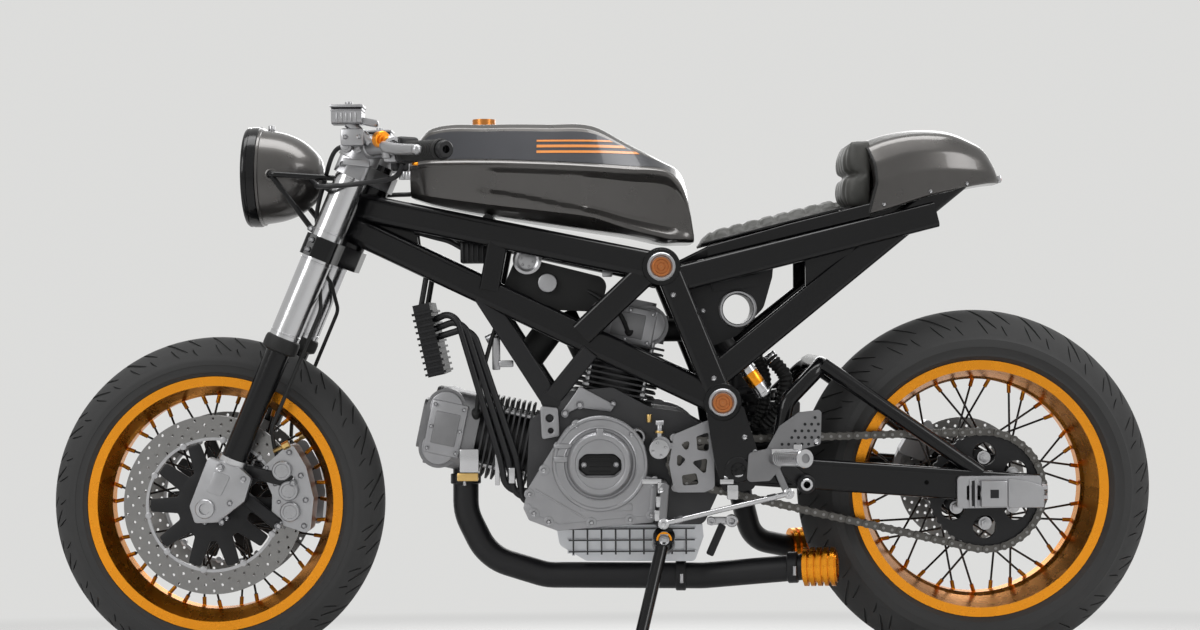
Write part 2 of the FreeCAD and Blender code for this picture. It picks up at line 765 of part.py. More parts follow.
# x, then the heights of the lower edge, widest line and top, and the half widths there
COWL_STATIONS = [
    (478.0, 808.0, 868.0, 940.0, 104.0, 108.0, 60.0),
    (520.0, 820.0, 876.0, 953.0, 104.0, 108.0, 62.0),
    (560.0, 831.0, 884.0, 961.0, 101.0, 105.0, 62.0),
    (600.0, 843.0, 889.0, 963.0, 94.0, 98.0, 58.0),
    (640.0, 852.0, 890.0, 959.0, 84.0, 88.0, 52.0),
    (676.0, 860.0, 889.0, 945.0, 71.0, 75.0, 44.0),
    (704.0, 865.0, 886.0, 928.0, 57.0, 61.0, 34.0),
    (722.0, 867.0, 878.0, 900.0, 42.0, 46.0, 24.0),
    (731.0, 867.0, 871.0, 880.0, 28.0, 30.0, 16.0),
]


def tail_cowl():
    """Cowl behind the seat, its front edge hollowed round the back pad."""
    sections = []
    for station in COWL_STATIONS:
        sections.append((station[0], list(zip(station[4:7], station[1:4])), (6.0, 30.0, 34.0)))
    cowl = section_loft(sections, straight=True)
    hollow = Vector(362.5, 0, 871.5)
    return cowl.cut(rod(hollow - Y_AXIS * 130, hollow + Y_AXIS * 130, 137.0))


def seat_parts(cowl):
    """Seat pan, the pad on it, the back pad in the cowl's front and the light at its tip."""
    pan_top = 25.0
    pan_section = []
    for x, thick, half in ((150.0, 10.0, 70.0), (200.0, 22.0, 96.0), (340.0, pan_top, 112.0),
                           (486.7, pan_top, 106.0)):
        pan_section.append((x, [(half, rail_top(x)), (half, rail_top(x) + thick)], (5.0, 4.0)))
    # A narrower tongue of the pan fills the wedge between the rails and the cowl.
    edge = [(station[0], station[1] - seat_gap) for station in COWL_STATIONS[:4]]
    tongue = side_plate([(470.0, rail_top(470.0)), (604.0, rail_top(604.0))] + edge[::-1]
                        + [(470.0, rail_top(470.0) + 5.0)], -56.0, 56.0)
    pan = largest(fuse([section_loft(pan_section, straight=True), tongue]).cut(cowl))
    pad_section = []
    for x, thick, half in ((184.0, 7.0, 84.0), (210.0, 16.0, 94.0), (340.0, 18.0, 108.0),
                           (444.0, 18.0, 102.0)):
        low = rail_top(x) + pan_top + seat_gap
        pad_section.append((x, [(half, low), (half - 4, low + thick)], (3.0, 6.0)))
    pad = section_loft(pad_section, straight=True)
    back_points = [(447.0, rail_top(447.0) + pan_top + seat_gap), (445.0, 868.0), (450.0, 930.0),
                   (468.0, 946.0), (497.0, 938.0), (505.0, 870.0), (497.0, 833.0),
                   (486.7, rail_top(486.7) + pan_top + seat_gap)]
    back = side_plate(back_points, -86.0, 86.0, [6, 20, 14, 10, 4, 4, 2, 2])
    back = largest(back.cut(cowl))
    light = side_plate([(731.0, 869.0), (736.0, 869.5), (735.0, 877.0), (731.0, 878.0)], -22.0, 22.0, 1.5)
    return {"seat_pan": pan, "seat_pad": pad, "seat_back_pad": back, "tail_cowl": cowl,
            "tail_light": light}


def tail_box(blocks):
    """Box for the battery under the seat, on the left, with a round window for the cables."""
    points = [(160.0, rail_top(160.0) - seat_gap), (322.0, rail_top(322.0) - seat_gap), (316.0, 700.0),
              (300.0, 645.0), (252.0, 596.0), (205.0, 576.0), (178.0, 640.0)]
    box = side_plate(points, -78.0, -6.0, [6, 6, 20, 30, 20, 10, 10])
    window = rod(Vector(254.0, -80.0, 643.0), Vector(254.0, -4.0, 643.0), 27.0)
    lid = side_plate([(206.0, 690.0), (296.0, 706.0), (288.0, 684.0), (210.0, 676.0)], -84.0, -77.0, 5.0)
    return cut_all(fuse([box, lid]), [window] + blocks)


# Engine

def along_cylinder(direction, distance, y=0.0):
    return CRANK + direction * distance + Vector(0, y, 0)


def square_fin(direction, distance, half_x, half_y, thickness, corner):
    """One cooling fin across a cylinder."""
    across = direction.cross(Y_AXIS).normalize()
    at = along_cylinder(direction, distance)
    corners = [at + across * (half_x * a) + Y_AXIS * (half_y * b)
               for a, b in ((-1, -1), (1, -1), (1, 1), (-1, 1))]
    return Part.Face(outline(corners, corner)).extrude(direction * thickness)


def cylinder(direction):
    """Air-cooled barrel with its fins."""
    core = rod(along_cylinder(direction, barrel_base), along_cylinder(direction, head_base), bore_radius)
    pieces = [core]
    distance = barrel_base + 6
    while distance < head_base - fin_thickness:
        pieces.append(square_fin(direction, distance, fin_half_x, fin_half_y, fin_thickness, 24.0))
        distance += fin_pitch
    return fuse(pieces)


def head_casting(direction, top):
    """Cylinder head: a body with two valve covers, and a belt cover on the right."""
    across = direction.cross(Y_AXIS).normalize()
    base = along_cylinder(direction, head_base)
    body = beam(base, along_cylinder(direction, top - 22), 140.0, 132.0, 30.0,
                side=Y_AXIS)
    covers = []
    for side in (-1, 1):
        middle = along_cylinder(direction, top - 46) + across * (side * 36.0)
        covers.append(rod(middle - Y_AXIS * 62.0, middle + Y_AXIS * 62.0, 36.0))
    cap = square_fin(direction, top - 26, 44.0, 52.0, 22.0, 16.0)
    return fuse([body] + covers + [cap])


def crankcase(drive):
    """Engine block with its gearbox, flats for the cylinders and the shaft of the drive sprocket."""
    points = [(-100.0, 292.0), (-66.0, 262.0), (190.0, 262.0), (222.0, 330.0), (222.0, 420.0),
              (150.0, 462.0), (96.0, 470.0), (30.0, 506.0), (-50.0, 500.0), (-118.0, 448.0),
              (-124.0, 330.0)]
    half = crankcase_half_width
    block = side_plate(points, -half, half, 16.0)
    cradle = [rod(along_cylinder(direction, 60), along_cylinder(direction, barrel_base), 72.0)
              for direction in (FRONT_CYLINDER, REAR_CYLINDER)]
    lug = fuse([left_joint(PIVOT, -half, -half + 12, 24.0),
                side_plate([(pivot_x - 40, pivot_z - 24), (pivot_x, pivot_z - 24),
                            (pivot_x, pivot_z + 24), (pivot_x - 40, pivot_z + 24)], -half, -half + 12)])
    sprocket_face = -chain_y + sprocket_thickness / 2
    shaft = rod(drive - Y_AXIS * (half - 4), drive - Y_AXIS * (sprocket_face + 5), sprocket_bore)
    nut = rod(drive - Y_AXIS * sprocket_face, drive - Y_AXIS * (sprocket_face + 5), sprocket_bore + 6)
    block = fuse([block] + cradle + [lug, mirrored(lug), shaft, nut])
    return block.cut(left_joint(PIVOT, -half - 1, half + 1, pivot_shaft_radius))


def side_covers():
    """Left cover with its round window ring, and the right clutch cover."""
    half = crankcase_half_width
    points = [(-120.0, 331.0), (-100.0, 363.0), (-74.0, 404.0), (-50.0, 440.0), (5.0, 460.0),
              (56.0, 440.0), (76.0, 400.0), (76.0, 353.0), (106.0, 347.0), (100.0, 272.0),
              (-68.0, 258.0), (-117.0, 277.0), (-128.0, 300.0)]
    plate = side_plate(points, -half - 30.0, -half, [12, 20, 30, 40, 60, 40, 20, 6, 10, 12, 14, 12, 10])
    centre = Vector(crank_x, -half, 372.4)
    dome = rod(centre - Y_AXIS * 24, centre - Y_AXIS * cover_thickness, 57.0)
    ring_edge = [edge for edge in dome.Edges if edge.CenterOfMass.y < -half - cover_thickness + 1]
    dome = dome.makeFillet(7.0, ring_edge)
    arc = rod(centre, centre - Y_AXIS * 34.0, 84.0)
    window = side_plate([(-32.0, 350.0), (45.0, 350.0), (45.0, 392.0), (-32.0, 392.0)],
                        -half - cover_thickness - 1, -half - cover_thickness + 14, 20.0)
    left = fuse([plate, arc, dome]).cut(window)
    clutch = Vector(118.0, half, 392.0)
    points = [(-110.0, 330.0), (-92.0, 430.0), (0.0, 462.0), (118.0, 478.0), (204.0, 420.0),
              (204.0, 340.0), (150.0, 300.0), (80.0, 270.0), (-80.0, 262.0)]
    right = fuse([side_plate(points, half, half + 26.0, 24.0),
                  rod(clutch, clutch + Y_AXIS * 48.0, 80.0)])
    return [left, right]


def sump():
    """Ribbed bottom casting."""
    points = [(-72.0, 261.6), (-66.0, 226.0), (-19.0, 198.0), (174.0, 196.0), (190.0, 240.0),
              (188.0, 261.6)]
    half = crankcase_half_width - 4
    body = side_plate(points, -half, half, [0, 14, 14, 10, 10, 0])
    ribs = []
    for side in (-1, 1):
        face = side * half
        for i in range(9):
            x = -44.0 + i * 25.0
            ribs.append(side_plate([(x, 208.0), (x + 5, 208.0), (x + 5, 256.0), (x, 256.0)],
                                   face, face + side * 7.0))
        for z in (212.0, 232.0, 252.0):
            ribs.append(side_plate([(-52.0, z), (176.0, z), (176.0, z + 5), (-52.0, z + 5)],
                                   face, face + side * 7.0))
    return fuse([body] + ribs)


def sprocket_cover():
    """Webbed cover over the drive sprocket."""
    top = chain_y - chain_inner_width / 2 - 2 * chain_plate - moving_gap
    points = [(137.0, 424.0), (206.0, 452.0), (208.0, 330.0), (190.0, 322.0), (137.0, 322.0),
              (128.0, 372.0)]
    plate = side_plate(points, top - 6.0, top, 10.0)
    windows = []
    for corners in ([(148.0, 408.0), (166.0, 414.0), (160.0, 392.0)],
                    [(176.0, 420.0), (198.0, 428.0), (198.0, 394.0), (178.0, 396.0)],
                    [(142.0, 392.0), (158.0, 380.0), (142.0, 362.0)],
                    [(166.0, 376.0), (196.0, 382.0), (192.0, 352.0)],
                    [(150.0, 352.0), (176.0, 356.0), (180.0, 336.0), (152.0, 334.0)]):
        windows.append(side_plate(corners, top - 8.0, top + 1.0, 4.0))
    plate = plate.cut(Part.makeCompound(windows))
    posts = []
    for x, z in ((139.0, 330.0), (137.0, 418.0)):
        posts.append(rod(Vector(x, -crankcase_half_width, z), Vector(x, top - 2, z), 7.0))
    boss = rod(Vector(114.0, -crankcase_half_width, 404.0), Vector(114.0, top - 12, 404.0), 17.0)
    return fuse([plate, boss] + posts + [beam(Vector(114.0, top - 4, 404.0), Vector(138.0, top - 4, 404.0),
                                              10.0, 6.0, 0)])


def engine_hangers(down_beams):
    """V-shaped plates that hang the engine from the down beams."""
    foot = Vector(-80.0, -84.0, 484.0)
    front_leg = beam(on_frame(-200.0, 672.0), foot, 34.0, 14.0, 5)
    rear_leg = beam(on_frame(-8.0, 572.0), foot, 32.0, 14.0, 5)
    boss = rod(foot - Y_AXIS * 9, foot + Y_AXIS * 9, 18.0)
    return fuse([front_leg, rear_leg, boss]).cut(down_beams)


def intake():
    """Throttle bodies between the cylinders and their air filters under the tank."""
    body = rod(Vector(-120.0, 0, 560.0), Vector(-60.0, 0, 640.0), 27.0)
    other = rod(Vector(-58.0, 44.0, 640.0), Vector(-20.0, 44.0, 560.0), 22.0)
    box = side_plate([(-180.0, 650.0), (10.0, 640.0), (24.0, 700.0), (-140.0, 742.0)], -62.0, 62.0, 20.0)
    return fuse([body, other, box])


def oil_cooler():
    """Finned oil cooler ahead of the front cylinder, with its hoses down to the crankcase."""
    low = Vector(-284.0, 0, 528.0)
    high = Vector(-312.0, 0, 656.0)
    core = beam(low, high, 30.0, 150.0, 2.0)
    along = (high - low).normalize()
    rows = []
    step = 11.0
    count = int((high - low).Length / step)
    for i in range(count):
        at = low + along * (i * step + 3)
        rows.append(beam(at, at + along * 4.0, 38.0, 158.0, 0))
    stay = rod(high + Vector(0, -60, -4), high + Vector(10, -60, 52), 5.0)
    hoses = []
    for i in range(3):
        step_back = 15.0 * i
        hoses.append(bent_pipe([Vector(-300.0, -52.0, 622.0 - step_back),
                                Vector(-250.0 + step_back, -84.0, 646.0 - step_back),
                                Vector(-172.0 + step_back, -84.0, 380.0),
                                Vector(-160.0 + step_back, -84.0, 322.0 - 10 * i),
                                Vector(-100.0, -80.0, 322.0 - 10 * i)], hose_radius, 30.0))
    return fuse([core] + rows + [stay, mirrored(stay)] + hoses)


def exhaust(engine):
    """Header pipes and the two short ribbed end cans."""
    left_end = Vector(364.0, -112.0, 188.0)
    right_end = Vector(364.0, 112.0, 196.0)
    front = bent_pipe([Vector(-236.0, -30.0, 372.0), Vector(-236.0, -34.0, 280.0),
                       Vector(-196.0, -40.0, 200.0), Vector(-90.0, -48.0, pipe_low_z),
                       Vector(190.0, -70.0, pipe_low_z), left_end], pipe_radius, 90.0)
    rear = bent_pipe([Vector(122.0, 24.0, 606.0), Vector(215.0, 40.0, 606.0), Vector(267.0, 57.0, 540.0),
                      Vector(267.0, 57.0, 300.0), Vector(290.0, 84.0, 214.0), right_end],
                     pipe_radius - 2, 60.0)
    cans = []
    for end, y in ((left_end, -1), (right_end, 1)):
        out = Vector(math.cos(math.radians(13)), y * math.sin(math.radians(13)), 0.04).normalize()
        core = rod(end, end + out * 60.0, tip_radius - 6)
        ribs = [rod(end + out * (2 + 12.0 * i), end + out * (9 + 12.0 * i), tip_radius) for i in range(5)]
        bore = rod(end + out * 20.0, end + out * 70.0, tip_radius - 12)
        cans.append(fuse([core] + ribs).cut(bore))
    front = largest(cut_all(front, engine))
    rear = largest(cut_all(rear, engine))
    cans = [cut_all(can, [front, rear]) for can in cans]
    return {"exhaust_pipes": Part.makeCompound([front, rear]), "exhaust_cans": Part.makeCompound(cans)}


# Swingarm

def arm_line(x):
    """Point on the centre line of the left arm."""
    share = (x - pivot_x) / (rear_x + 88.0 - pivot_x)
    return Vector(x, -arm_half, pivot_z + share * (REAR_AXLE.z + 4 - pivot_z))


def spool_point():
    """Mouth of the left bobbin hole, on the arm's outer face."""
    return arm_line(spool_x) - Y_AXIS * (arm_width / 2)


def swingarm():
    """Two arms on a cross bridge, with bracing tubes over them, and the axle blocks."""
    axle_end = arm_line(rear_x + 88.0)
    start = arm_line(pivot_x)
    arm = beam(start, axle_end, arm_height, arm_width, 10)
    knuckle = rod(start + Vector(0, arm_width / 2, 0), start - Vector(0, arm_width / 2, 0), 32.0)
    arm = fuse([arm, knuckle]).cut(rod(start - Y_AXIS * 60, start + Y_AXIS * 60, pivot_shaft_radius))
    slot = side_plate([(rear_x - 30, REAR_AXLE.z - axle_radius), (rear_x + 30, REAR_AXLE.z - axle_radius),
                       (rear_x + 30, REAR_AXLE.z + axle_radius), (rear_x - 30, REAR_AXLE.z + axle_radius)],
                      -arm_half - 30, -arm_half + 30, axle_radius)
    spool = rod(spool_point() - Y_AXIS, spool_point() + Y_AXIS * spool_depth, spool_bore)
    arm = arm.cut(slot).cut(spool)
    inner = arm_half - arm_width / 2
    bridge_points = [(pivot_x + 44, pivot_z + 20), (pivot_x + 90, pivot_z + 14),
                     (pivot_x + 90, pivot_z - 24), (pivot_x + 44, pivot_z - 24)]
    bridge = side_plate(bridge_points, -inner, inner, 8)
    arch_top = Vector(400.0, -114.0, 545.0)
    brace_end = arm_line(672.0) + Z_AXIS * (arm_height / 2 - 6)
    brace = rod(arch_top, brace_end, brace_radius)
    knee = Vector(334.0, -arm_half + 8, 480.0)
    left_side = [Vector(316.0, -arm_half + 2, 372.0), knee, arch_top]
    right_side = [Vector(p.x, -p.y, p.z) for p in reversed(left_side)]
    hoop = bent_pipe(left_side + right_side, brace_radius + 1, 40.0)
    arm = fuse([arm, brace])
    arms = pair(arm)
    hoop = largest(hoop.cut(arms))
    block_y = -arm_half - arm_width / 2
    block = side_plate([(rear_x - 58, REAR_AXLE.z - 26), (rear_x + 88, REAR_AXLE.z - 24),
                        (rear_x + 88, REAR_AXLE.z + 30), (rear_x - 58, REAR_AXLE.z + 30)],
                       block_y - 9.0, block_y, 7)
    window = side_plate([(rear_x - 42, REAR_AXLE.z - 12), (rear_x - 18, REAR_AXLE.z - 12),
                         (rear_x - 18, REAR_AXLE.z + 14), (rear_x - 42, REAR_AXLE.z + 14)],
                        block_y - 10.0, block_y + 1, 3)
    block = block.cut(window)
    axle_span = arm_half + arm_width / 2 + 9
    axle = rod(REAR_AXLE - Y_AXIS * axle_span, REAR_AXLE + Y_AXIS * axle_span, axle_radius)
    nuts = [rod(REAR_AXLE + Y_AXIS * (side * axle_span), REAR_AXLE + Y_AXIS * (side * (axle_span + 10)), 20)
            for side in (-1, 1)]
    return {
        "swingarm": arms,
        "swingarm_bridge": fuse([bridge, hoop]),
        "rear_axle": fuse([axle, block, mirrored(block)] + nuts),
    }


def rear_caliper():
    """Small caliper on the right arm, over the front of the rear disc."""
    reach = rear_disc_radius + 15
    inner = rear_disc_radius - disc_band * 0.8
    arm_face = arm_half - arm_width / 2
    wedge = []
    for radius, angles in ((reach, (118.0, 131.0, 144.0, 156.0)), (inner, (154.0, 137.0, 120.0))):
        for angle in angles:
            turn = math.radians(angle)
            wedge.append((rear_x + math.cos(turn) * radius, REAR_AXLE.z + math.sin(turn) * radius))
    body = side_plate(wedge, rear_disc_y - 22, arm_face - brace_radius, 8)
    half_slot = disc_thickness / 2 + moving_gap
    sweep = rear_disc_radius + moving_gap
    gap = turned([(sweep, rear_disc_y - half_slot), (sweep, rear_disc_y + half_slot),
                  (50, rear_disc_y + half_slot), (50, rear_disc_y - half_slot)], REAR_AXLE)
    foot = side_plate([(rear_x - 112, REAR_AXLE.z + 66), (rear_x - 92, REAR_AXLE.z + 60),
                       (rear_x - 102, REAR_AXLE.z - 8), (rear_x - 142, REAR_AXLE.z - 8)],
                      rear_disc_y + half_slot, arm_face, 5)
    return fuse([body.cut(gap), foot])


def rear_shock():
    """Single shock between the frame's lower joint and the swingarm's bridge, with its spring."""
    top = LOWER_JOINT + Vector(72, 0, 18)
    low = Vector(pivot_x + 66, 0, pivot_z + 22)
    damper = rod(low, top, 22.0)
    coils = []
    along = (top - low).normalize()
    for i in range(5):
        ring_at = low + along * (22.0 + 18.0 * i)
        coils.append(rod(ring_at, ring_at + along * 10.0, 31.0))
    seats = [rod(low + along * 12, low + along * 17, 36.0), rod(top - along * 12, top - along * 6, 36.0)]
    web = [rod(top - along * 4, LOWER_JOINT + Vector(cross_tube_radius - 2, 0, 4), 12.0)]
    body = fuse([damper] + coils + seats + web)
    return body.cut(rod(LOWER_JOINT - Y_AXIS * 60, LOWER_JOINT + Y_AXIS * 60, cross_tube_radius))


def rearset(with_shift):
    """Footrest hanger with its peg and heel guard; the left one has the shift linkage."""
    plate_y = -frame_rear_half - 32.0
    plate = side_plate([(pivot_x + 18, pivot_z + 30), (300.0, 402.0), (322.0, 372.0),
                        (300.0, 346.0), (pivot_x + 14, pivot_z - 20)], plate_y - 6, plate_y + 4, 8)
    peg = rod(Vector(308.0, plate_y - 2, 384.0), Vector(352.0, plate_y - 88, 390.0), 11.0)
    guard = side_plate([(284.0, 380.0), (318.0, 440.0), (352.0, 464.0), (391.0, 468.0),
                        (389.0, 408.0), (340.0, 396.0), (306.0, 370.0)], plate_y, plate_y + 4, 6)
    pieces = [plate, peg, guard]
    if with_shift:
        pieces.append(rod(Vector(113.0, plate_y, 272.0), Vector(333.0, plate_y, 324.0), 4.0))
        pieces.append(beam(Vector(304.0, plate_y - 2, 384.0), Vector(333.0, plate_y - 2, 318.0), 12, 7, 3))
        pieces.append(beam(Vector(113.0, plate_y, 266.0), Vector(119.0, plate_y, 340.0), 15, 9, 4))
        shaft = rod(Vector(118.0, plate_y - 4, 336.0), Vector(118.0, -crankcase_half_width, 336.0), 7.0)
        pieces.append(shaft)
    return fuse(pieces)


# Side stand

def stand_direction():
    """Direction of the leg, from its pivot to the foot."""
    splay = math.radians(stand_splay)
    forward = math.radians(stand_forward)
    return Vector(-math.sin(forward), -math.sin(splay) * math.cos(forward),
                  -math.cos(splay) * math.cos(forward)).normalize()


def stand_parts():
    """Bracket on the engine, and the leg with its foot flat on the ground when leaned."""
    ground_normal = Vector(0, math.sin(lean), math.cos(lean))
    ground_height = front_crown_radius * math.cos(lean) - front_crown_radius
    down = stand_direction()
    pivot_height = stand_pivot.dot(ground_normal) - ground_height
    reach = pivot_height / -down.dot(ground_normal)
    foot_at = stand_pivot + down * reach
    side = Vector(0, -math.cos(math.radians(stand_splay)), math.sin(math.radians(stand_splay)))
    pivot_axis = side.normalize()
    leg_end = foot_at + ground_normal * (foot_thickness - 2)
    leg = rod(stand_pivot, leg_end - down * 4, stand_leg_radius)
    half = stand_leg_radius
    eye = rod(stand_pivot - pivot_axis * half, stand_pivot + pivot_axis * half, 19.0)
    pad = Part.makeCylinder(foot_radius, foot_thickness, foot_at, ground_normal)
    leg = fuse([leg, eye, pad])
    pin_radius = 7.0
    leg = leg.cut(rod(stand_pivot - pivot_axis * 30, stand_pivot + pivot_axis * 30,
                      pin_radius + running_clearance))
    pin = rod(stand_pivot - pivot_axis * 22, stand_pivot + pivot_axis * (half + 6), pin_radius)
    cheek = rod(stand_pivot - pivot_axis * 22, stand_pivot - pivot_axis * (half + seat_gap), 20.0)
    arm = rod(stand_pivot - pivot_axis * 17, Vector(stand_pivot.x, -crankcase_half_width, 268.0), 12.0)
    swing_room = rod(stand_pivot - pivot_axis * (half + seat_gap), stand_pivot + pivot_axis * 60, 60.0)
    bracket = fuse([cheek, pin, arm.cut(swing_room)])
    return bracket, leg, pivot_axis


# Steering

def clamp_plate(station, thickness, ahead_reach, bore):
    """Triple clamp: a waisted plate round both fork legs and the stem."""
    side = fork_half_spacing
    points = []
    for y, ahead in ((-side - 36, 8), (-side - 28, ahead_reach), (-side + 26, ahead_reach), (-42, 2),
                     (42, 2), (side - 26, ahead_reach), (side + 28, ahead_reach), (side + 36, 8),
                     (side + 30, -28), (side - 22, -34), (34, -clamp_offset - 34),
                     (-34, -clamp_offset - 34), (-side + 22, -34), (-side - 30, -28)):
        points.append(fork_point(station - thickness / 2, y, ahead))
    plate = Part.Face(outline(points, 12.0)).extrude(FORK_UP * thickness)
    for y in (-side, side):
        plate = plate.cut(rod(fork_point(station - thickness, y), fork_point(station + thickness, y), bore))
    return plate


def fork():
    """Fork legs, their clamps and the steering stem."""
    y = -fork_half_spacing
    leg = rod(fork_point(seal_station, y), fork_point(fork_top_station, y), outer_tube_radius)
    seal = rod(fork_point(seal_station - 12, y), fork_point(seal_station, y), outer_tube_radius + 3)
    cap = rod(fork_point(fork_top_station, y), fork_point(fork_top_station + 12, y), 20.0)
    stanchion = rod(fork_point(axle_clamp_station, y), fork_point(seal_station - 12, y), stanchion_radius)
    lower = clamp_plate(lower_clamp_station, lower_clamp_thickness, 30, outer_tube_radius)
    upper = clamp_plate(upper_clamp_station, upper_clamp_thickness, 30, outer_tube_radius)
    stem = rod(steer_point(lower_clamp_station - 14),
               steer_point(upper_clamp_station + upper_clamp_thickness / 2 + 4), stem_radius)
    nut = rod(steer_point(upper_clamp_station + upper_clamp_thickness / 2),
              steer_point(upper_clamp_station + upper_clamp_thickness / 2 + 12), 22.0)
    lower = fuse([lower, stem, nut])
    upper = upper.cut(lower)
    shoe_low = rod(fork_point(axle_clamp_station - 66, y), fork_point(axle_clamp_station, y),
                   stanchion_radius + 5)
    knuckle = rod(FRONT_AXLE + Vector(0, y - 24, 0), FRONT_AXLE + Vector(0, y + 22, 0), 25.0)
    neck = beam(FRONT_AXLE + Vector(0, y, 0) + FORK_UP * 10, fork_point(axle_clamp_station - 20, y), 46, 40, 12)
    lugs = [beam(fork_point(82, y + 12, -18), fork_point(96, y + 12, -112), 20, 14, 4),
            beam(fork_point(46, y + 12, -18), fork_point(16, y + 12, -118), 20, 14, 4)]
    shoe = fuse([shoe_low, knuckle, neck] + lugs)
    bore = rod(FRONT_AXLE - Y_AXIS * 200, FRONT_AXLE + Y_AXIS * 200, axle_radius)
    shoe = shoe.cut(bore)
    span = fork_half_spacing + 30
    axle = rod(FRONT_AXLE - Y_AXIS * span, FRONT_AXLE + Y_AXIS * span, axle_radius)
    return {
        "fork_outer_tubes": pair(fuse([leg, seal, cap])),
        "fork_stanchions": pair(stanchion),
        "axle_clamps": pair(shoe),
        "lower_clamp": lower,
        "upper_clamp": upper,
        "front_axle": axle,
    }


def bar_directions():
    """Along the left bar outwards, and ahead of it on the level."""
    sweep = math.radians(bar_sweep)
    drop = math.radians(bar_drop)
    out = Vector(math.sin(sweep), -math.cos(sweep), -math.sin(drop)).normalize()
    return out, Vector(-math.cos(sweep), -math.sin(sweep), 0).normalize()


def bar_base():
    """Where the left bar's line meets its fork leg."""
    return fork_point(upper_clamp_station + upper_clamp_thickness / 2 + 15, -fork_half_spacing)


def perch_point(forward, outward, up):
    """Point measured from the middle of the left lever's perch."""
    out, ahead = bar_directions()
    return bar_base() + out * (bar_length - grip_length - 24 + outward) + ahead * forward + Z_AXIS * up


def handlebars():
    """Clip-on bars with grips, levers, their perches and reservoirs."""
    out, ahead = bar_directions()
    base = bar_base()
    collar = rod(base - FORK_UP * 14, base + FORK_UP * 14, outer_tube_radius + 9)
    collar = collar.cut(rod(base - FORK_UP * 40, base + FORK_UP * 40, outer_tube_radius))
    tube_start = base + out * (outer_tube_radius + 3)
    bar = rod(tube_start, base + out * bar_length, bar_radius)
    core = rod(base + out * (bar_length - 40), base + out * (bar_length + 1), bar_end_bore)
    bar = fuse([bar, collar]).cut(core)
    bar = bar.cut(rod(base - FORK_UP * 40, base + FORK_UP * 40, outer_tube_radius))
    grip_end = base + out * bar_length
    grip_start = base + out * (bar_length - grip_length)
    grip = rod(grip_start, grip_end, grip_radius).cut(rod(grip_start - out, grip_end + out, bar_radius))
    # Perch, lever and reservoir lie ahead of the bar.
    perch_at = perch_point(0, 0, 0)
    perch = rod(perch_at - out * 14, perch_at + out * 14, bar_radius + 8)
    pump = rod(perch_point(26, -60, 8), perch_point(26, 22, 8), 15.0)
    cup_at = perch_at + ahead * 68 - out * 56 + Z_AXIS * 58
    half_cup = Vector(26.0, 0, 0)
    cup = beam(cup_at - half_cup, cup_at + half_cup, 28.0, 44.0, 9.0)
    stalk = rod(perch_at + ahead * 26 - out * 34 + Z_AXIS * 8, cup_at - Z_AXIS * 10, 9.0)
    lever = bent_pipe([perch_at + ahead * 34 + out * 18 + Z_AXIS * 6,
                       perch_at + ahead * 56 + out * 46 + Z_AXIS * 2,
                       perch_at + ahead * 50 + out * 90 - Z_AXIS * 3,
                       perch_at + ahead * 46 + out * 144 - Z_AXIS * 3], 7.0, 30.0)
    perch = fuse([perch, pump, cup, stalk, lever])
    perch = perch.cut(rod(base, base + out * bar_length, bar_radius))
    perch = largest(perch)
    return {"clip_ons": pair(bar), "grips": pair(grip), "bar_controls": pair(perch)}


def headlight():
    """Round headlamp: bowl, rim and lens, on two stays from the fork legs."""
    centre = Vector(lamp_x, 0, lamp_z)
    ahead = Vector(-1, 0, 0)
    back = Vector(lamp_x + lamp_depth, 0, lamp_z + 16.0)
    tail = Vector(lamp_x + lamp_depth, 0, lamp_z)
    lip = centre + Z_AXIS * (lamp_radius - 4)
    shoulder = Vector(lamp_x + lamp_depth * 0.68, 0, lamp_z + lamp_radius * 0.7)
    edges = [Part.LineSegment(centre, lip).toShape(), Part.Arc(lip, shoulder, back).toShape(),
             Part.LineSegment(back, tail).toShape(), Part.LineSegment(tail, centre).toShape()]
    bowl = Part.Face(Part.Wire(edges)).revolve(centre, Vector(1, 0, 0), 360)
    rim_back = centre + ahead * seat_gap
    rim_ring = sleeve(rim_back, rim_back + ahead * bezel_length, lamp_radius, lamp_radius - 9)
    lens = rod(rim_back, rim_back + ahead * 10, lamp_radius - 9.3)
    y = -fork_half_spacing
    stay = bent_pipe([Vector(lamp_x + 24, -lamp_radius + 22, lamp_z - 2), Vector(lamp_x + 30, -106.0, lamp_z - 2),
                      fork_point(upper_clamp_station - 28, y, outer_tube_radius - 1)], 5.0, 12.0)
    strut = rod(Vector(lamp_x + 34, -100.0, lamp_z - 6),
                fork_point(lower_clamp_station + 24, y, outer_tube_radius - 1), 5.0)
    legs = pair(rod(fork_point(seal_station, y), fork_point(fork_top_station, y), outer_tube_radius))
    stays = fuse([stay, strut])
    stays = cut_all(stays, [legs, bowl])
    stays = largest(stays)
    return {"headlight_bowl": bowl, "headlight_rim": rim_ring, "headlight_lens": lens,
            "headlight_stays": pair(stays)}


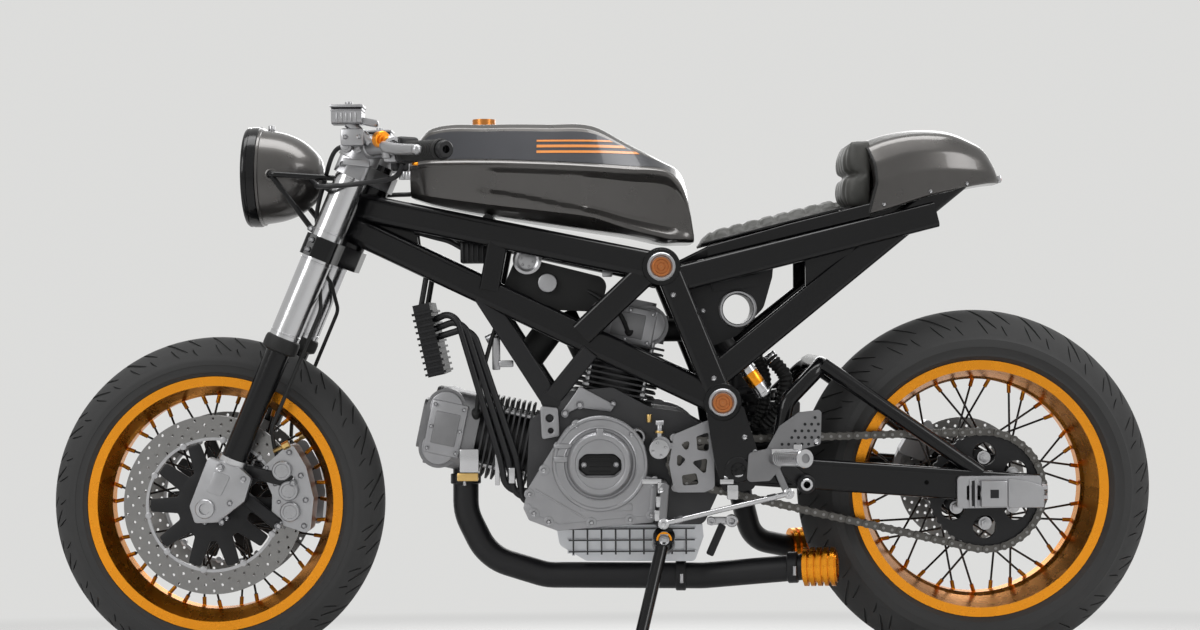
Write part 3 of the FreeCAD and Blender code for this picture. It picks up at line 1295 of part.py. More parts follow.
def front_calipers():
    """Radial four-piston calipers behind the fork legs."""
    reach = front_disc_radius + 24
    inner = front_disc_radius - disc_band - 6
    wedge = []
    for angle in (-16.0, 4.0, 22.0, 38.0):
        turn = math.radians(angle)
        wedge.append((front_x + math.cos(turn) * reach, front_tyre_radius + math.sin(turn) * reach))
    for angle in (36.0, 10.0, -14.0):
        turn = math.radians(angle)
        wedge.append((front_x + math.cos(turn) * inner, front_tyre_radius + math.sin(turn) * inner))
    y = -front_disc_y
    body = side_plate(wedge, y - 30, y + 24, 10)
    half_slot = disc_thickness / 2 + moving_gap
    sweep = front_disc_radius + moving_gap
    gap = turned([(sweep, y - half_slot), (sweep, y + half_slot),
                  (60, y + half_slot), (60, y - half_slot)], FRONT_AXLE)
    body = body.cut(gap)
    pistons = []
    for angle in (-4.0, 11.0, 26.0):
        turn = math.radians(angle)
        at = FRONT_AXLE + Vector(math.cos(turn) * 143, y - 29, math.sin(turn) * 143)
        pistons.append(rod(at, at - Y_AXIS * 8, 15.0))
    return fuse([body] + pistons)


def brake_lines():
    """Front brake lines: from the right master cylinder to a splitter, and down to both calipers."""
    splitter = beam(fork_point(lower_clamp_station, 0, 2), fork_point(lower_clamp_station, 0, 20),
                    22.0, 34.0, 4.0)
    start = perch_point(26, -58, 8)
    feed = bent_pipe([Vector(start.x, -start.y, start.z), Vector(-428.0, 170.0, 928.0),
                      Vector(-486.0, 132.0, 880.0), Vector(-504.0, 60.0, 800.0),
                      fork_point(lower_clamp_station, 12, 12)], line_radius, 28.0)
    y = -fork_half_spacing
    line = bent_pipe([fork_point(lower_clamp_station, -12, 12),
                      fork_point(lower_clamp_station - 30, -40, 24),
                      fork_point(lower_clamp_station - 56, y + 38, -14),
                      fork_point(lower_clamp_station - 100, y, -41),
                      fork_point(170, y, -41), Vector(-572.0, y + 20, 404.0),
                      Vector(-564.0, y + 24, 372.0)], line_radius, 24.0)
    return fuse([splitter, feed, line, mirrored(line)])


def main():
    """Build every piece upright, lean the bike onto its stand and write the files."""
    os.makedirs("parts", exist_ok=True)
    pieces, axes = build()
    for name, shape in pieces.items():
        shape.exportStep(os.path.join("parts", name + ".step"))


def build():
    """All pieces in their place on the leaned bike, and the moving axes with them."""
    pieces = {}
    pieces.update(front_wheel())
    drive, pins = chain_layout()
    foremost = min(pins, key=lambda pin: pin.x)
    rearmost = max(pins, key=lambda pin: pin.x)
    pieces.update(rear_wheel(seat_angle(REAR_AXLE, rearmost)))
    pieces["drive_chain"] = drive_chain(pins)
    pieces["front_sprocket"] = sprocket(drive, front_teeth, seat_angle(drive, foremost),
                                         sprocket_bore, 0, 1.5)
    pieces.update(frame())
    cowl = tail_cowl()
    pieces.update(tail_frame(pieces["frame_struts"], pieces["frame_cross_tubes"], cowl))
    pieces["fuel_tank"] = fuel_tank()
    pieces["tank_cap"] = tank_cap().cut(pieces["fuel_tank"])
    pieces["frame_cross_tubes"] = Part.makeCompound([pieces["frame_cross_tubes"],
                                                     tank_rest(pieces["frame_top_beams"])])
    pieces.update(seat_parts(cowl))
    pieces["crankcase"] = crankcase(drive)
    pieces["engine_covers"] = Part.makeCompound(side_covers() + [sprocket_cover()])
    barrels = [cylinder(FRONT_CYLINDER).cut(pieces["crankcase"]),
               cylinder(REAR_CYLINDER).cut(pieces["crankcase"])]
    heads = [head_casting(FRONT_CYLINDER, front_head_top).cut(barrels[0]),
             head_casting(REAR_CYLINDER, rear_head_top).cut(barrels[1])]
    pieces["cylinders"] = Part.makeCompound([largest(barrel) for barrel in barrels])
    pieces["cylinder_heads"] = Part.makeCompound([largest(head) for head in heads])
    pieces["sump"] = sump()
    hanger = engine_hangers(pieces["frame_down_beams"])
    hanger = largest(cut_all(hanger, [pieces["crankcase"], pieces["cylinders"]]))
    pieces["engine_hangers"] = pair(hanger)
    engine = [pieces["cylinders"], pieces["cylinder_heads"], pieces["crankcase"]]
    pieces["intake"] = cut_all(intake(), engine)
    pieces["oil_cooler"] = largest(cut_all(oil_cooler(), [pieces["frame_down_beams"], pieces["crankcase"]]))
    pieces.update(exhaust(engine))
    pieces["tail_box"] = tail_box([pieces["frame_cross_tubes"], pieces["exhaust_pipes"]])
    pieces.update(swingarm())
    pieces["rear_caliper"] = rear_caliper()
    pieces["rear_shock"] = rear_shock()
    pieces["rearsets"] = Part.makeCompound([rearset(True), mirrored(rearset(False))])
    bracket, leg, pivot_axis = stand_parts()
    pieces["stand_bracket"] = largest(cut_all(bracket, [pieces["crankcase"], pieces["sump"]]))
    pieces["side_stand"] = leg
    pieces.update(fork())
    pieces.update(handlebars())
    pieces.update(headlight())
    pieces["front_calipers"] = pair(front_calipers())
    pieces["brake_lines"] = largest(cut_all(brake_lines(), [pieces["front_calipers"], pieces["lower_clamp"],
                                                            pieces["bar_controls"]]))
    pieces["axle_clamps"] = pair(largest(pieces["axle_clamps"].Solids[0].cut(pieces["front_calipers"])))
    axes = {"steering": (steer_point(0), FORK_UP), "front_wheel": (FRONT_AXLE, Y_AXIS),
            "rear_wheel": (REAR_AXLE, Y_AXIS), "side_stand": (stand_pivot, pivot_axis)}

    placed = {}
    for name, shape in pieces.items():
        copy = shape.copy()
        copy.rotate(Vector(0, 0, 0), Vector(1, 0, 0), lean_angle)
        placed[name] = copy
    everything = Part.makeCompound(list(placed.values())).optimalBoundingBox(False, False)
    shift = Vector(-(everything.XMin + everything.XMax) / 2, -(everything.YMin + everything.YMax) / 2,
                   -everything.ZMin)
    for shape in placed.values():
        shape.translate(shift)
    turn = FreeCAD.Rotation(Vector(1, 0, 0), lean_angle)
    axes = {name: (turn.multVec(at) + shift, turn.multVec(along)) for name, (at, along) in axes.items()}
    return placed, axes


if __name__ == "__main__":
    main()
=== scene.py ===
"""Looks of a cafe racer motorcycle, dressed over its fixed CAD frame.

Everything here is placed in the upright bike's own millimetres: X runs rearwards, Y to the
rider's right and Z up, with the ground below the middle of the wheelbase at the origin. When a
piece is finished, its mesh is leaned and scaled into the row's frame, so that every object sits
at the origin, unturned and unscaled.
"""
import json
import math

import bmesh
import bpy
from bpy.props import FloatProperty, FloatVectorProperty, IntProperty, PointerProperty
from mathutils import Matrix, Vector


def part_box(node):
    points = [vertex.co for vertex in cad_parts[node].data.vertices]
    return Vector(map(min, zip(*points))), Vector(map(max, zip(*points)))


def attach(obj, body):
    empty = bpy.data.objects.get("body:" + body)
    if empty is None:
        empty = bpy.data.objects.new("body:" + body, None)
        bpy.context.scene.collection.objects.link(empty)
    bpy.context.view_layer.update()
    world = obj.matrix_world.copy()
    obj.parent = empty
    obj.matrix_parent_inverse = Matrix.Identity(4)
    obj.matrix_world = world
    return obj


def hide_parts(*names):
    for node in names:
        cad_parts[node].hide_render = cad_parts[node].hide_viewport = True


bl_info = {
    "name": "Cafe racer looks",
    "version": (1, 0, 0),
    "blender": (4, 2, 0),
    "location": "View3D > Sidebar > Cafe racer",
    "description": "Dresses the frame of a cafe racer motorcycle and sets its stage",
    "category": "Object",
}

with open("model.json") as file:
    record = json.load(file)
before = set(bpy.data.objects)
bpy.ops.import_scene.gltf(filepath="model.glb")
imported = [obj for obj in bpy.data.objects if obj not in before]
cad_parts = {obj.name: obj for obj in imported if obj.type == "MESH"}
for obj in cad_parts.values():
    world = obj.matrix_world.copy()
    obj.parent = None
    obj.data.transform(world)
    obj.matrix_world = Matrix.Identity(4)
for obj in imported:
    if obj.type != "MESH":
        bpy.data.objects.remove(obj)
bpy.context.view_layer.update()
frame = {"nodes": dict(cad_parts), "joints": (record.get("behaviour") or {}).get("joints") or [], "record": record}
JOINTS = {joint["name"]: joint for joint in frame["joints"]}


def upright_matrix():
    """From the upright bike's millimetres to the row's metres, read off the wheels' axles."""
    front = Vector(JOINTS["front_wheel_spin"]["pos_m"])
    rear = Vector(JOINTS["rear_wheel_spin"]["pos_m"])
    across = Vector(JOINTS["rear_wheel_spin"]["axis"])
    low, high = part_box("front_tyre")
    axle = Vector(((front.x - rear.x) / 2, 0, (high.x - low.x) / 2))
    lean = Matrix.Rotation(math.atan2(across.z, across.y), 4, "X")
    return Matrix.Translation(front) @ lean @ Matrix.Translation(-axle) @ Matrix.Scale(0.001, 4)


ROW = upright_matrix()
BIKE = ROW.inverted()


def bike_box(node):
    """Lowest and highest corners of a CAD node in the upright bike's millimetres."""
    points = [BIKE @ v.co for v in frame["nodes"][node].data.vertices]
    low = Vector([min(p[i] for p in points) for i in range(3)])
    high = Vector([max(p[i] for p in points) for i in range(3)])
    return low, high


FRONT_AXLE = BIKE @ Vector(JOINTS["front_wheel_spin"]["pos_m"])
REAR_AXLE = BIKE @ Vector(JOINTS["rear_wheel_spin"]["pos_m"])
STAND_PIVOT = BIKE @ Vector(JOINTS["stand_fold"]["pos_m"])
TURN = BIKE.to_3x3().normalized()
FORK_UP = (TURN @ Vector(JOINTS["steering"]["axis"])).normalized()
X_AXIS = Vector((1, 0, 0))
Y_AXIS = Vector((0, 1, 0))
Z_AXIS = Vector((0, 0, 1))
LEFT = -Y_AXIS


# Mesh helpers, all in the upright bike's millimetres

def aim(start, end):
    """Matrix that takes the Z axis, centred between two points, onto the line through them."""
    along = end - start
    turn = along.to_track_quat("Z", "Y").to_matrix().to_4x4()
    return Matrix.Translation((start + end) / 2) @ turn


def rod(bm, start, end, radius, tip_radius=None, segments=20, chamfer=0):
    """Round bar or cone between two points, its end edges bevelled by chamfer."""
    start, end = Vector(start), Vector(end)
    tip = radius if tip_radius is None else tip_radius
    made = bmesh.ops.create_cone(bm, cap_ends=True, segments=segments, radius1=radius, radius2=tip,
                                 depth=(end - start).length, matrix=aim(start, end))
    if chamfer > 0:
        round_ends(bm, made["verts"], segments, chamfer)
    return made["verts"]


def round_ends(bm, verts, segments, chamfer):
    """Bevel the two end circles of a bar."""
    faces = {face for vert in verts for face in vert.link_faces if len(face.verts) == segments}
    edges = list({edge for face in faces for edge in face.edges})
    bmesh.ops.bevel(bm, geom=edges, offset=chamfer, segments=2, profile=0.5, affect="EDGES", material=-1)


def block(bm, centre, size, turn=None, chamfer=0, steps=2):
    """Rounded box of a size, about a centre, turned by a 3x3 or 4x4 matrix."""
    placed = Matrix.Translation(Vector(centre)) @ (turn.to_4x4() if turn else Matrix.Identity(4))
    made = bmesh.ops.create_cube(bm, size=1, matrix=placed @ Matrix.Diagonal((*size, 1)))
    if chamfer > 0:
        edges = list({edge for vert in made["verts"] for edge in vert.link_edges})
        bmesh.ops.bevel(bm, geom=edges, offset=chamfer, segments=steps, profile=0.5, affect="EDGES",
                        material=-1)


def bar(bm, start, end, height, width, chamfer=0, side=Y_AXIS):
    """Rounded rectangular bar between two points; its width lies along side."""
    start, end = Vector(start), Vector(end)
    along = (end - start).normalized()
    up = along.cross(side).normalized()
    across = up.cross(along)
    turn = Matrix((across, up, along)).transposed()
    block(bm, (start + end) / 2, (width, height, (end - start).length), turn, chamfer)


def spin(bm, profile, centre, axis=Y_AXIS, steps=48, closed=True):
    """Outline of (radius, distance along the axis) pairs, turned all the way round an axis."""
    centre = Vector(centre)
    out = axis.orthogonal().normalized()
    verts = [bm.verts.new(centre + out * radius + axis * along) for radius, along in profile]
    pairs = list(zip(verts, verts[1:]))
    if closed:
        pairs.append((verts[-1], verts[0]))
    edges = [bm.edges.new(pair) for pair in pairs]
    bmesh.ops.spin(bm, geom=verts + edges, cent=centre, axis=axis, angle=math.tau, steps=steps,
                   use_merge=True)


def rounded(points, radius, steps=4):
    """Corners of a closed outline in a plane, each replaced by a short arc."""
    result = []
    count = len(points)
    for i, corner in enumerate(points):
        corner = Vector(corner)
        back = Vector(points[i - 1]) - corner
        ahead = Vector(points[(i + 1) % count]) - corner
        size = radius[i] if isinstance(radius, (list, tuple)) else radius
        if size <= 0:
            result.append(corner)
            continue
        half = max(0.01, back.angle(ahead, math.pi) / 2)
        reach = min(size / math.tan(half), 0.48 * back.length, 0.48 * ahead.length)
        start = corner + back.normalized() * reach
        end = corner + ahead.normalized() * reach
        for k in range(steps + 1):
            t = k / steps
            result.append(start * (1 - t) ** 2 + corner * 2 * t * (1 - t) + end * t ** 2)
    return result


def circle(x, z, radius, count=16, start=0):
    """Closed round outline of (x, z) points."""
    return [Vector((x + radius * math.cos(start + math.tau * k / count), z
                    + radius * math.sin(start + math.tau * k / count))) for k in range(count)]


def plate(bm, outline, y_from, y_to, corner=0, chamfer=0, holes=(), steps=4):
    """Outline of (x, z) pairs, less the outlines of its holes, extruded from one y to another."""
    loops = [rounded(outline, corner, steps) if corner else [Vector(p) for p in outline]]
    loops += [[Vector(p) for p in hole] for hole in holes]
    edges = []
    for loop in loops:
        verts = [bm.verts.new((p.x, y_from, p.y)) for p in loop]
        edges += [bm.edges.new((verts[i - 1], verts[i])) for i in range(len(verts))]
    if holes:
        made = bmesh.ops.triangle_fill(bm, edges=edges, use_beauty=True, use_dissolve=False)
        faces = [item for item in made["geom"] if isinstance(item, bmesh.types.BMFace)]
    else:
        faces = bmesh.ops.contextual_create(bm, geom=edges)["faces"]
    raised = bmesh.ops.extrude_face_region(bm, geom=faces, use_keep_orig=True)["geom"]
    verts = [item for item in raised if isinstance(item, bmesh.types.BMVert)]
    bmesh.ops.translate(bm, verts=verts, vec=(0, y_to - y_from, 0))
    tops = [item for item in raised if isinstance(item, bmesh.types.BMFace)]
    everything = faces + tops + [face for vert in verts for face in vert.link_faces]
    bmesh.ops.recalc_face_normals(bm, faces=list(set(everything)))
    if chamfer > 0:
        caps = set(faces + tops)
        edges = {edge for face in caps for edge in face.edges if any(other not in caps
                                                                     for other in edge.link_faces)}
        bmesh.ops.bevel(bm, geom=list(edges), offset=chamfer, segments=2, profile=0.5, affect="EDGES",
                        material=-1)


def loft(bm, rings, closed=True):
    """Skin over a row of outlines that all have the same number of points; closed ones get ends."""
    around = len(rings[0]) if closed else len(rings[0]) - 1
    made = bmesh.ops.create_grid(bm, x_segments=len(rings) - 1, y_segments=around, size=0.5)["verts"]
    for vert in made:
        i = round((vert.co.x + 0.5) * (len(rings) - 1))
        j = round((vert.co.y + 0.5) * around)
        vert.co = rings[i][j % len(rings[0])]
    if closed:
        bmesh.ops.remove_doubles(bm, verts=made, dist=0.001)
        open_edges = [edge for edge in bm.edges if edge.is_boundary]
        bmesh.ops.edgeloop_fill(bm, edges=open_edges)
    bmesh.ops.recalc_face_normals(bm, faces=bm.faces[:])


def between(low, high, x):
    """0 below low, 1 above high, and a soft rise between them."""
    t = min(1.0, max(0.0, (x - low) / (high - low)))
    return t * t * (3 - 2 * t)


def along_stations(stations, x):
    """Values at x on a smooth curve through rows of (x, values...)."""
    i = max(k for k in range(len(stations) - 1) if stations[k][0] <= x or k == 0)
    rows = [stations[max(0, min(len(stations) - 1, i + k))] for k in (-1, 0, 1, 2)]
    a, b, c, d = rows
    gap = c[0] - b[0]
    t = (x - b[0]) / gap
    values = []
    for k in range(1, len(b)):
        slope_b = (c[k] - a[k]) / max(1.0, c[0] - a[0]) * gap
        slope_c = (d[k] - b[k]) / max(1.0, d[0] - b[0]) * gap
        values.append((2 * t ** 3 - 3 * t ** 2 + 1) * b[k] + (t ** 3 - 2 * t ** 2 + t) * slope_b
                      + (3 * t ** 2 - 2 * t ** 3) * c[k] + (t ** 3 - t ** 2) * slope_c)
    return values


def smooth_path(points, steps=8):
    """Points along a smooth curve through a few given ones."""
    points = [Vector(p) for p in points]
    ends = [points[0] * 2 - points[1]] + points + [points[-1] * 2 - points[-2]]
    result = []
    for a, b, c, d in zip(ends, ends[1:], ends[2:], ends[3:]):
        for k in range(steps):
            t = k / steps
            result.append(0.5 * ((2 * b) + (c - a) * t + (2 * a - 5 * b + 4 * c - d) * t ** 2
                                 + (3 * b - a - 3 * c + d) * t ** 3))
    return result + [points[-1]]


def tube(bm, path, radius, segments=10, ribs=0):
    """Round tube along a path of points; ribs adds rings by making every other radius larger."""
    rings = []
    normal = None
    for i, point in enumerate(path):
        along = (path[min(i + 1, len(path) - 1)] - path[max(i - 1, 0)]).normalized()
        if normal is None:
            normal = along.orthogonal().normalized()
        normal = (normal - along * normal.dot(along)).normalized()
        size = radius + (ribs if i % 2 else 0)
        turn = Matrix((normal, along.cross(normal), along)).transposed().to_4x4()
        made = bmesh.ops.create_circle(bm, cap_ends=False, segments=segments, radius=size,
                                       matrix=Matrix.Translation(point) @ turn)
        rings.append(made["verts"])
    edges = []
    for ring in rings:
        edges.append([edge for vert in ring for edge in vert.link_edges])
    for first, second in zip(edges, edges[1:]):
        bmesh.ops.bridge_loops(bm, edges=list(set(first + second)))
    for ring in (rings[0], rings[-1]):
        bmesh.ops.contextual_create(bm, geom=ring)


def hose(bm, points, radius, segments=10, steps=8):
    """Smooth hose through a few points."""
    tube(bm, smooth_path(points, steps), radius, segments)


def bolt(bm, at, out, radius, height=None, kind="socket"):
    """Bolt head standing on a face: a socket cap, a hexagon or a button."""
    at, out = Vector(at), Vector(out).normalized()
    height = radius * 1.1 if height is None else height
    if kind == "hex":
        rod(bm, at, at + out * height, radius, segments=6, chamfer=radius * 0.08)
        rod(bm, at - out * 0.2, at + out * height * 0.2, radius * 1.35)
        return
    verts = rod(bm, at, at + out * height, radius, radius * (0.96 if kind == "socket" else 0.6), segments=18)
    top = [face for vert in verts for face in vert.link_faces if len(face.verts) == 18
           and face.calc_center_median().dot(out) > (at + out * height * 0.6).dot(out)]
    bmesh.ops.inset_region(bm, faces=list(set(top)), thickness=radius * 0.42, depth=0)
    for face in set(top):
        bmesh.ops.translate(bm, verts=face.verts, vec=-out * height * 0.55)


def ring_of(centre, radius, count, start=0, axis=Y_AXIS, spread=math.tau):
    """Evenly spaced points round a circle."""
    out = axis.orthogonal().normalized()
    centre = Vector(centre)
    return [centre + Matrix.Rotation(start + spread * i / count, 3, axis) @ (out * radius)
            for i in range(count)]


def mirror_across(*meshes):
    """Add the mirror image of each mesh on the bike's other side."""
    for bm in meshes:
        copy = bmesh.ops.duplicate(bm, geom=bm.verts[:] + bm.edges[:] + bm.faces[:])["geom"]
        verts = [item for item in copy if isinstance(item, bmesh.types.BMVert)]
        faces = [item for item in copy if isinstance(item, bmesh.types.BMFace)]
        bmesh.ops.scale(bm, verts=verts, vec=(1, -1, 1))
        bmesh.ops.reverse_faces(bm, faces=faces)


def fresh(count):
    """A number of empty meshes."""
    return [bmesh.new() for _ in range(count)]


def add_piece(name, bm, material, body="chassis", replaces=(), sharp=35, merge=0):
    """Lean a finished mesh into the row's frame and hand it over as a piece of a body."""
    if merge > 0:
        bmesh.ops.remove_doubles(bm, verts=bm.verts[:], dist=merge)
        bmesh.ops.recalc_face_normals(bm, faces=bm.faces[:])
    bmesh.ops.transform(bm, matrix=ROW, verts=bm.verts[:])
    for face in bm.faces:
        face.smooth = True
    for edge in bm.edges:
        if len(edge.link_faces) == 2 and edge.calc_face_angle(0) > math.radians(sharp):
            edge.smooth = False
    mesh = bpy.data.meshes.new(name)
    bm.to_mesh(mesh)
    bm.free()
    mesh.materials.append(material)
    piece = bpy.data.objects.new(name, mesh)
    bpy.context.scene.collection.objects.link(piece)
    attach(piece, body)
    if replaces:
        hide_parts(*replaces)
    return piece


# Materials

def add_node(nodes, kind, inputs=(), **settings):
    """Shader node with its settings, and with (name, value) pairs for its unlinked inputs."""
    node = nodes.new("ShaderNode" + kind)
    for key, value in settings.items():
        setattr(node, key, value)
    for key, value in inputs:
        node.inputs[key].default_value = value
    return node


def finish(name, colour, metallic=0.0, roughness=0.5, coat=0.0, grain=(), shade=0.0, specular=0.5):
    """Material whose roughness and tone vary with fine noise; grain is (scale, depth) of its bump."""
    if name in bpy.data.materials:
        return bpy.data.materials[name]
    material = bpy.data.materials.new(name)
    material.use_nodes = True
    nodes = material.node_tree.nodes
    links = material.node_tree.links
    shader = nodes["Principled BSDF"]
    for key, value in (("Metallic", metallic), ("Coat Weight", coat), ("Coat Roughness", 0.04),
                       ("Specular IOR Level", specular)):
        shader.inputs[key].default_value = value
    place = add_node(nodes, "TexCoord")
    cloud = add_node(nodes, "TexNoise", (("Scale", 35.0), ("Detail", 5.0)))
    links.new(place.outputs["Object"], cloud.inputs["Vector"])
    rough = add_node(nodes, "MapRange", (("To Min", roughness * 0.88),
                                         ("To Max", min(1.0, roughness * 1.14))))
    links.new(cloud.outputs["Fac"], rough.inputs["Value"])
    links.new(rough.outputs["Result"], shader.inputs["Roughness"])
    dark = (*[c * (1.0 - shade) for c in colour], 1.0)
    light = (*[min(1.0, c * (1.0 + shade)) for c in colour], 1.0)
    tone = add_node(nodes, "Mix", (("A", dark), ("B", light)), data_type="RGBA")
    links.new(cloud.outputs["Fac"], tone.inputs["Factor"])
    links.new(tone.outputs["Result"], shader.inputs["Base Color"])
    if grain:
        add_grain(nodes, links, place, shader, *grain)
    return material


def add_grain(nodes, links, place, shader, scale, depth):
    """Fine surface bump from noise of a scale and depth (metres)."""
    noise = add_node(nodes, "TexNoise", (("Scale", scale), ("Detail", 4.0)))
    links.new(place.outputs["Object"], noise.inputs["Vector"])
    bump = add_node(nodes, "Bump", (("Strength", 1.0), ("Distance", depth)))
    links.new(noise.outputs["Fac"], bump.inputs["Height"])
    links.new(bump.outputs["Normal"], shader.inputs["Normal"])


def gloss_black():
    return finish("gloss_black_paint", (0.004, 0.004, 0.0045), roughness=0.16, shade=0.1, specular=0.28)


def satin_black():
    return finish("satin_black_paint", (0.008, 0.008, 0.009), roughness=0.4, grain=(900, 0.0001), shade=0.15,
                  specular=0.3)


def rubber():
    return finish("black_rubber", (0.009, 0.009, 0.009), roughness=0.6, grain=(700, 0.0002), shade=0.15,
                  specular=0.35)


def tyre_rubber():
    return finish("tyre_rubber", (0.010, 0.010, 0.0105), roughness=0.55, grain=(900, 0.00015), shade=0.2,
                  specular=0.35)


def gold_anodised():
    return finish("gold_anodised", (0.80, 0.30, 0.022), metallic=1.0, roughness=0.27, shade=0.04)


# Radii, in metres, between which a rim's nipples end and its well begins; the painted shade on the nipples fades
# out across them
NIPPLE_SHADE_FADE = (0.192, 0.1935)


def rim_gold(node, centre):
    """Gold of a rim; its nipples, nearer the axle than the rim's well, are darkened as painted shade."""
    material = finish(node + "_gold", (0.80, 0.30, 0.022), metallic=1.0, roughness=0.27, shade=0.04)
    nodes = material.node_tree.nodes
    links = material.node_tree.links
    colour = nodes["Principled BSDF"].inputs["Base Color"]
    tone = colour.links[0].from_socket
    place = add_node(nodes, "TexCoord")
    arm = add_node(nodes, "VectorMath", ((1, ROW @ centre),), operation="SUBTRACT")
    links.new(place.outputs["Object"], arm.inputs[0])
    axle = (ROW.to_3x3() @ Y_AXIS).normalized()
    across = add_node(nodes, "VectorMath", ((1, axle),), operation="CROSS_PRODUCT")
    links.new(arm.outputs["Vector"], across.inputs[0])
    radius = add_node(nodes, "VectorMath", operation="LENGTH")
    links.new(across.outputs["Vector"], radius.inputs[0])
    share = add_node(nodes, "MapRange", (("From Min", NIPPLE_SHADE_FADE[0]), ("From Max", NIPPLE_SHADE_FADE[1]),
                                         ("To Min", 0.3)))
    links.new(radius.outputs["Value"], share.inputs["Value"])
    # Painted shade: the gold falls to 0.3 of its tone on the nipples, inside the rim's well
    nipple_shade = add_node(nodes, "VectorMath", operation="SCALE")
    links.new(tone, nipple_shade.inputs[0])
    links.new(share.outputs["Result"], nipple_shade.inputs["Scale"])
    links.new(nipple_shade.outputs["Vector"], colour)
    return material


def polished_alloy():
    return finish("polished_alloy", (0.52, 0.52, 0.53), metallic=1.0, roughness=0.2, shade=0.05)


def satin_alloy():
    return finish("satin_alloy", (0.36, 0.36, 0.37), metallic=1.0, roughness=0.36, grain=(1500, 0.00005),
                  shade=0.08)


def cast_alloy():
    return finish("cast_alloy", (0.2, 0.2, 0.205), metallic=0.85, roughness=0.48, grain=(1100, 0.0003),
                  shade=0.12)


def dark_cast():
    return finish("dark_cast", (0.05, 0.05, 0.052), metallic=0.6, roughness=0.5, grain=(1100, 0.0003),
                  shade=0.15)


def bolt_steel():
    return finish("bolt_steel", (0.42, 0.42, 0.43), metallic=1.0, roughness=0.3, shade=0.08)


def turned_steel():
    return finish("turned_steel", (0.22, 0.217, 0.212), metallic=1.0, roughness=0.3, shade=0.08,
                  grain=(2500, 0.00003))


def chain_steel():
    return finish("oiled_chain_steel", (0.10, 0.096, 0.09), metallic=1.0, roughness=0.36, shade=0.3)


def leather():
    return finish("seat_leather", (0.006, 0.006, 0.006), roughness=0.27, grain=(420, 0.0004), shade=0.2,
                  specular=0.2)


def red_lens():
    return finish("red_lens", (0.35, 0.01, 0.01), roughness=0.12, coat=1.0)


def tank_paint():
    return finish("gunmetal_paint", (0.076, 0.072, 0.069), metallic=0.75, roughness=0.28, coat=0.5,
                  shade=0.06, grain=(2600, 0.00002))


def panel_paint():
    return finish("slate_panel_paint", (0.030, 0.031, 0.036), metallic=0.3, roughness=0.3, coat=0.3,
                  shade=0.06, grain=(2600, 0.00002), specular=0.3)


def bright_cast():
    return finish("bright_cast_alloy", (0.5, 0.51, 0.53), metallic=0.9, roughness=0.4, grain=(1300, 0.00018),
                  shade=0.1)


def bronze():
    return finish("bronze_anodised", (0.52, 0.2, 0.05), metallic=1.0, roughness=0.3, shade=0.06)


def cover_alloy():
    return finish("light_cast_alloy", (0.3, 0.3, 0.31), metallic=0.9, roughness=0.36, grain=(1300, 0.00018),
                  shade=0.1)


def brass():
    return finish("brass_fittings", (0.62, 0.42, 0.16), metallic=1.0, roughness=0.32, shade=0.06)


def copper():
    return finish("copper_badge", (0.42, 0.15, 0.05), metallic=0.9, roughness=0.34, shade=0.12)


def orange_anodised():
    return finish("orange_anodised", (0.85, 0.3, 0.02), metallic=0.9, roughness=0.3, shade=0.05)


def lamp_glass():
    if "lamp_glass" in bpy.data.materials:
        return bpy.data.materials["lamp_glass"]
    material = finish("lamp_glass", (0.9, 0.92, 0.93), roughness=0.05)
    shader = material.node_tree.nodes["Principled BSDF"]
    shader.inputs["Transmission Weight"].default_value = 0.92
    shader.inputs["IOR"].default_value = 1.45
    return material


NODE_FINISH = {
    "tyre_rubber": tyre_rubber, "rim_gold": gold_anodised, "hub_black": gloss_black,
    "disc_steel": turned_steel, "chain_steel": chain_steel, "frame_black": gloss_black,
    "plug_silver": satin_alloy, "tank_grey": tank_paint, "cap_bronze": bronze,
    "seat_leather": leather, "seat_black": gloss_black, "lamp_red": red_lens,
    "engine_grey": cast_alloy, "cover_black": cover_alloy, "head_silver": cast_alloy,
    "rubber_black": rubber, "pipe_black": satin_black, "can_gold": gold_anodised,
    "fork_silver": polished_alloy, "stanchion_black": gloss_black, "steel": bolt_steel,
    "lamp_silver": tank_paint, "lens_glass": lamp_glass,
}


# Nodes whose finish differs from their slot's
OWN_FINISH = {
    "oil_cooler": satin_black, "engine_hangers": satin_black, "rear_sprocket": satin_black,
    "crankcase": dark_cast, "cylinders": dark_cast, "cylinder_heads": cast_alloy, "rear_shock": satin_black,
    "sump": bright_cast, "rearsets": cast_alloy,
    "front_rim": lambda: rim_gold("front_rim", FRONT_AXLE),
    "rear_rim": lambda: rim_gold("rear_rim", REAR_AXLE),
}


class RACER_OT_finishes(bpy.types.Operator):
    """Give every node of the frame its finish"""
    bl_idname = "racer.finishes"
    bl_label = "Finishes of the frame"

    def execute(self, context):
        for entry in frame["record"]["subparts"]:
            node = frame["nodes"][entry["node"]]
            node.data.materials.clear()
            own = OWN_FINISH.get(entry["node"], NODE_FINISH[entry["material_slot"]])
            node.data.materials.append(own())
        return {"FINISHED"}


def seen_rays(nodes, links):
    """1 for what the camera sees, also in a reflection or through glass; 0 for light on the object."""
    path = add_node(nodes, "LightPath")
    total = path.outputs["Is Camera Ray"]
    for kind in ("Is Transmission Ray", "Is Glossy Ray"):
        larger = add_node(nodes, "Math", operation="MAXIMUM")
        links.new(total, larger.inputs[0])
        links.new(path.outputs[kind], larger.inputs[1])
        total = larger.outputs["Value"]
    return total


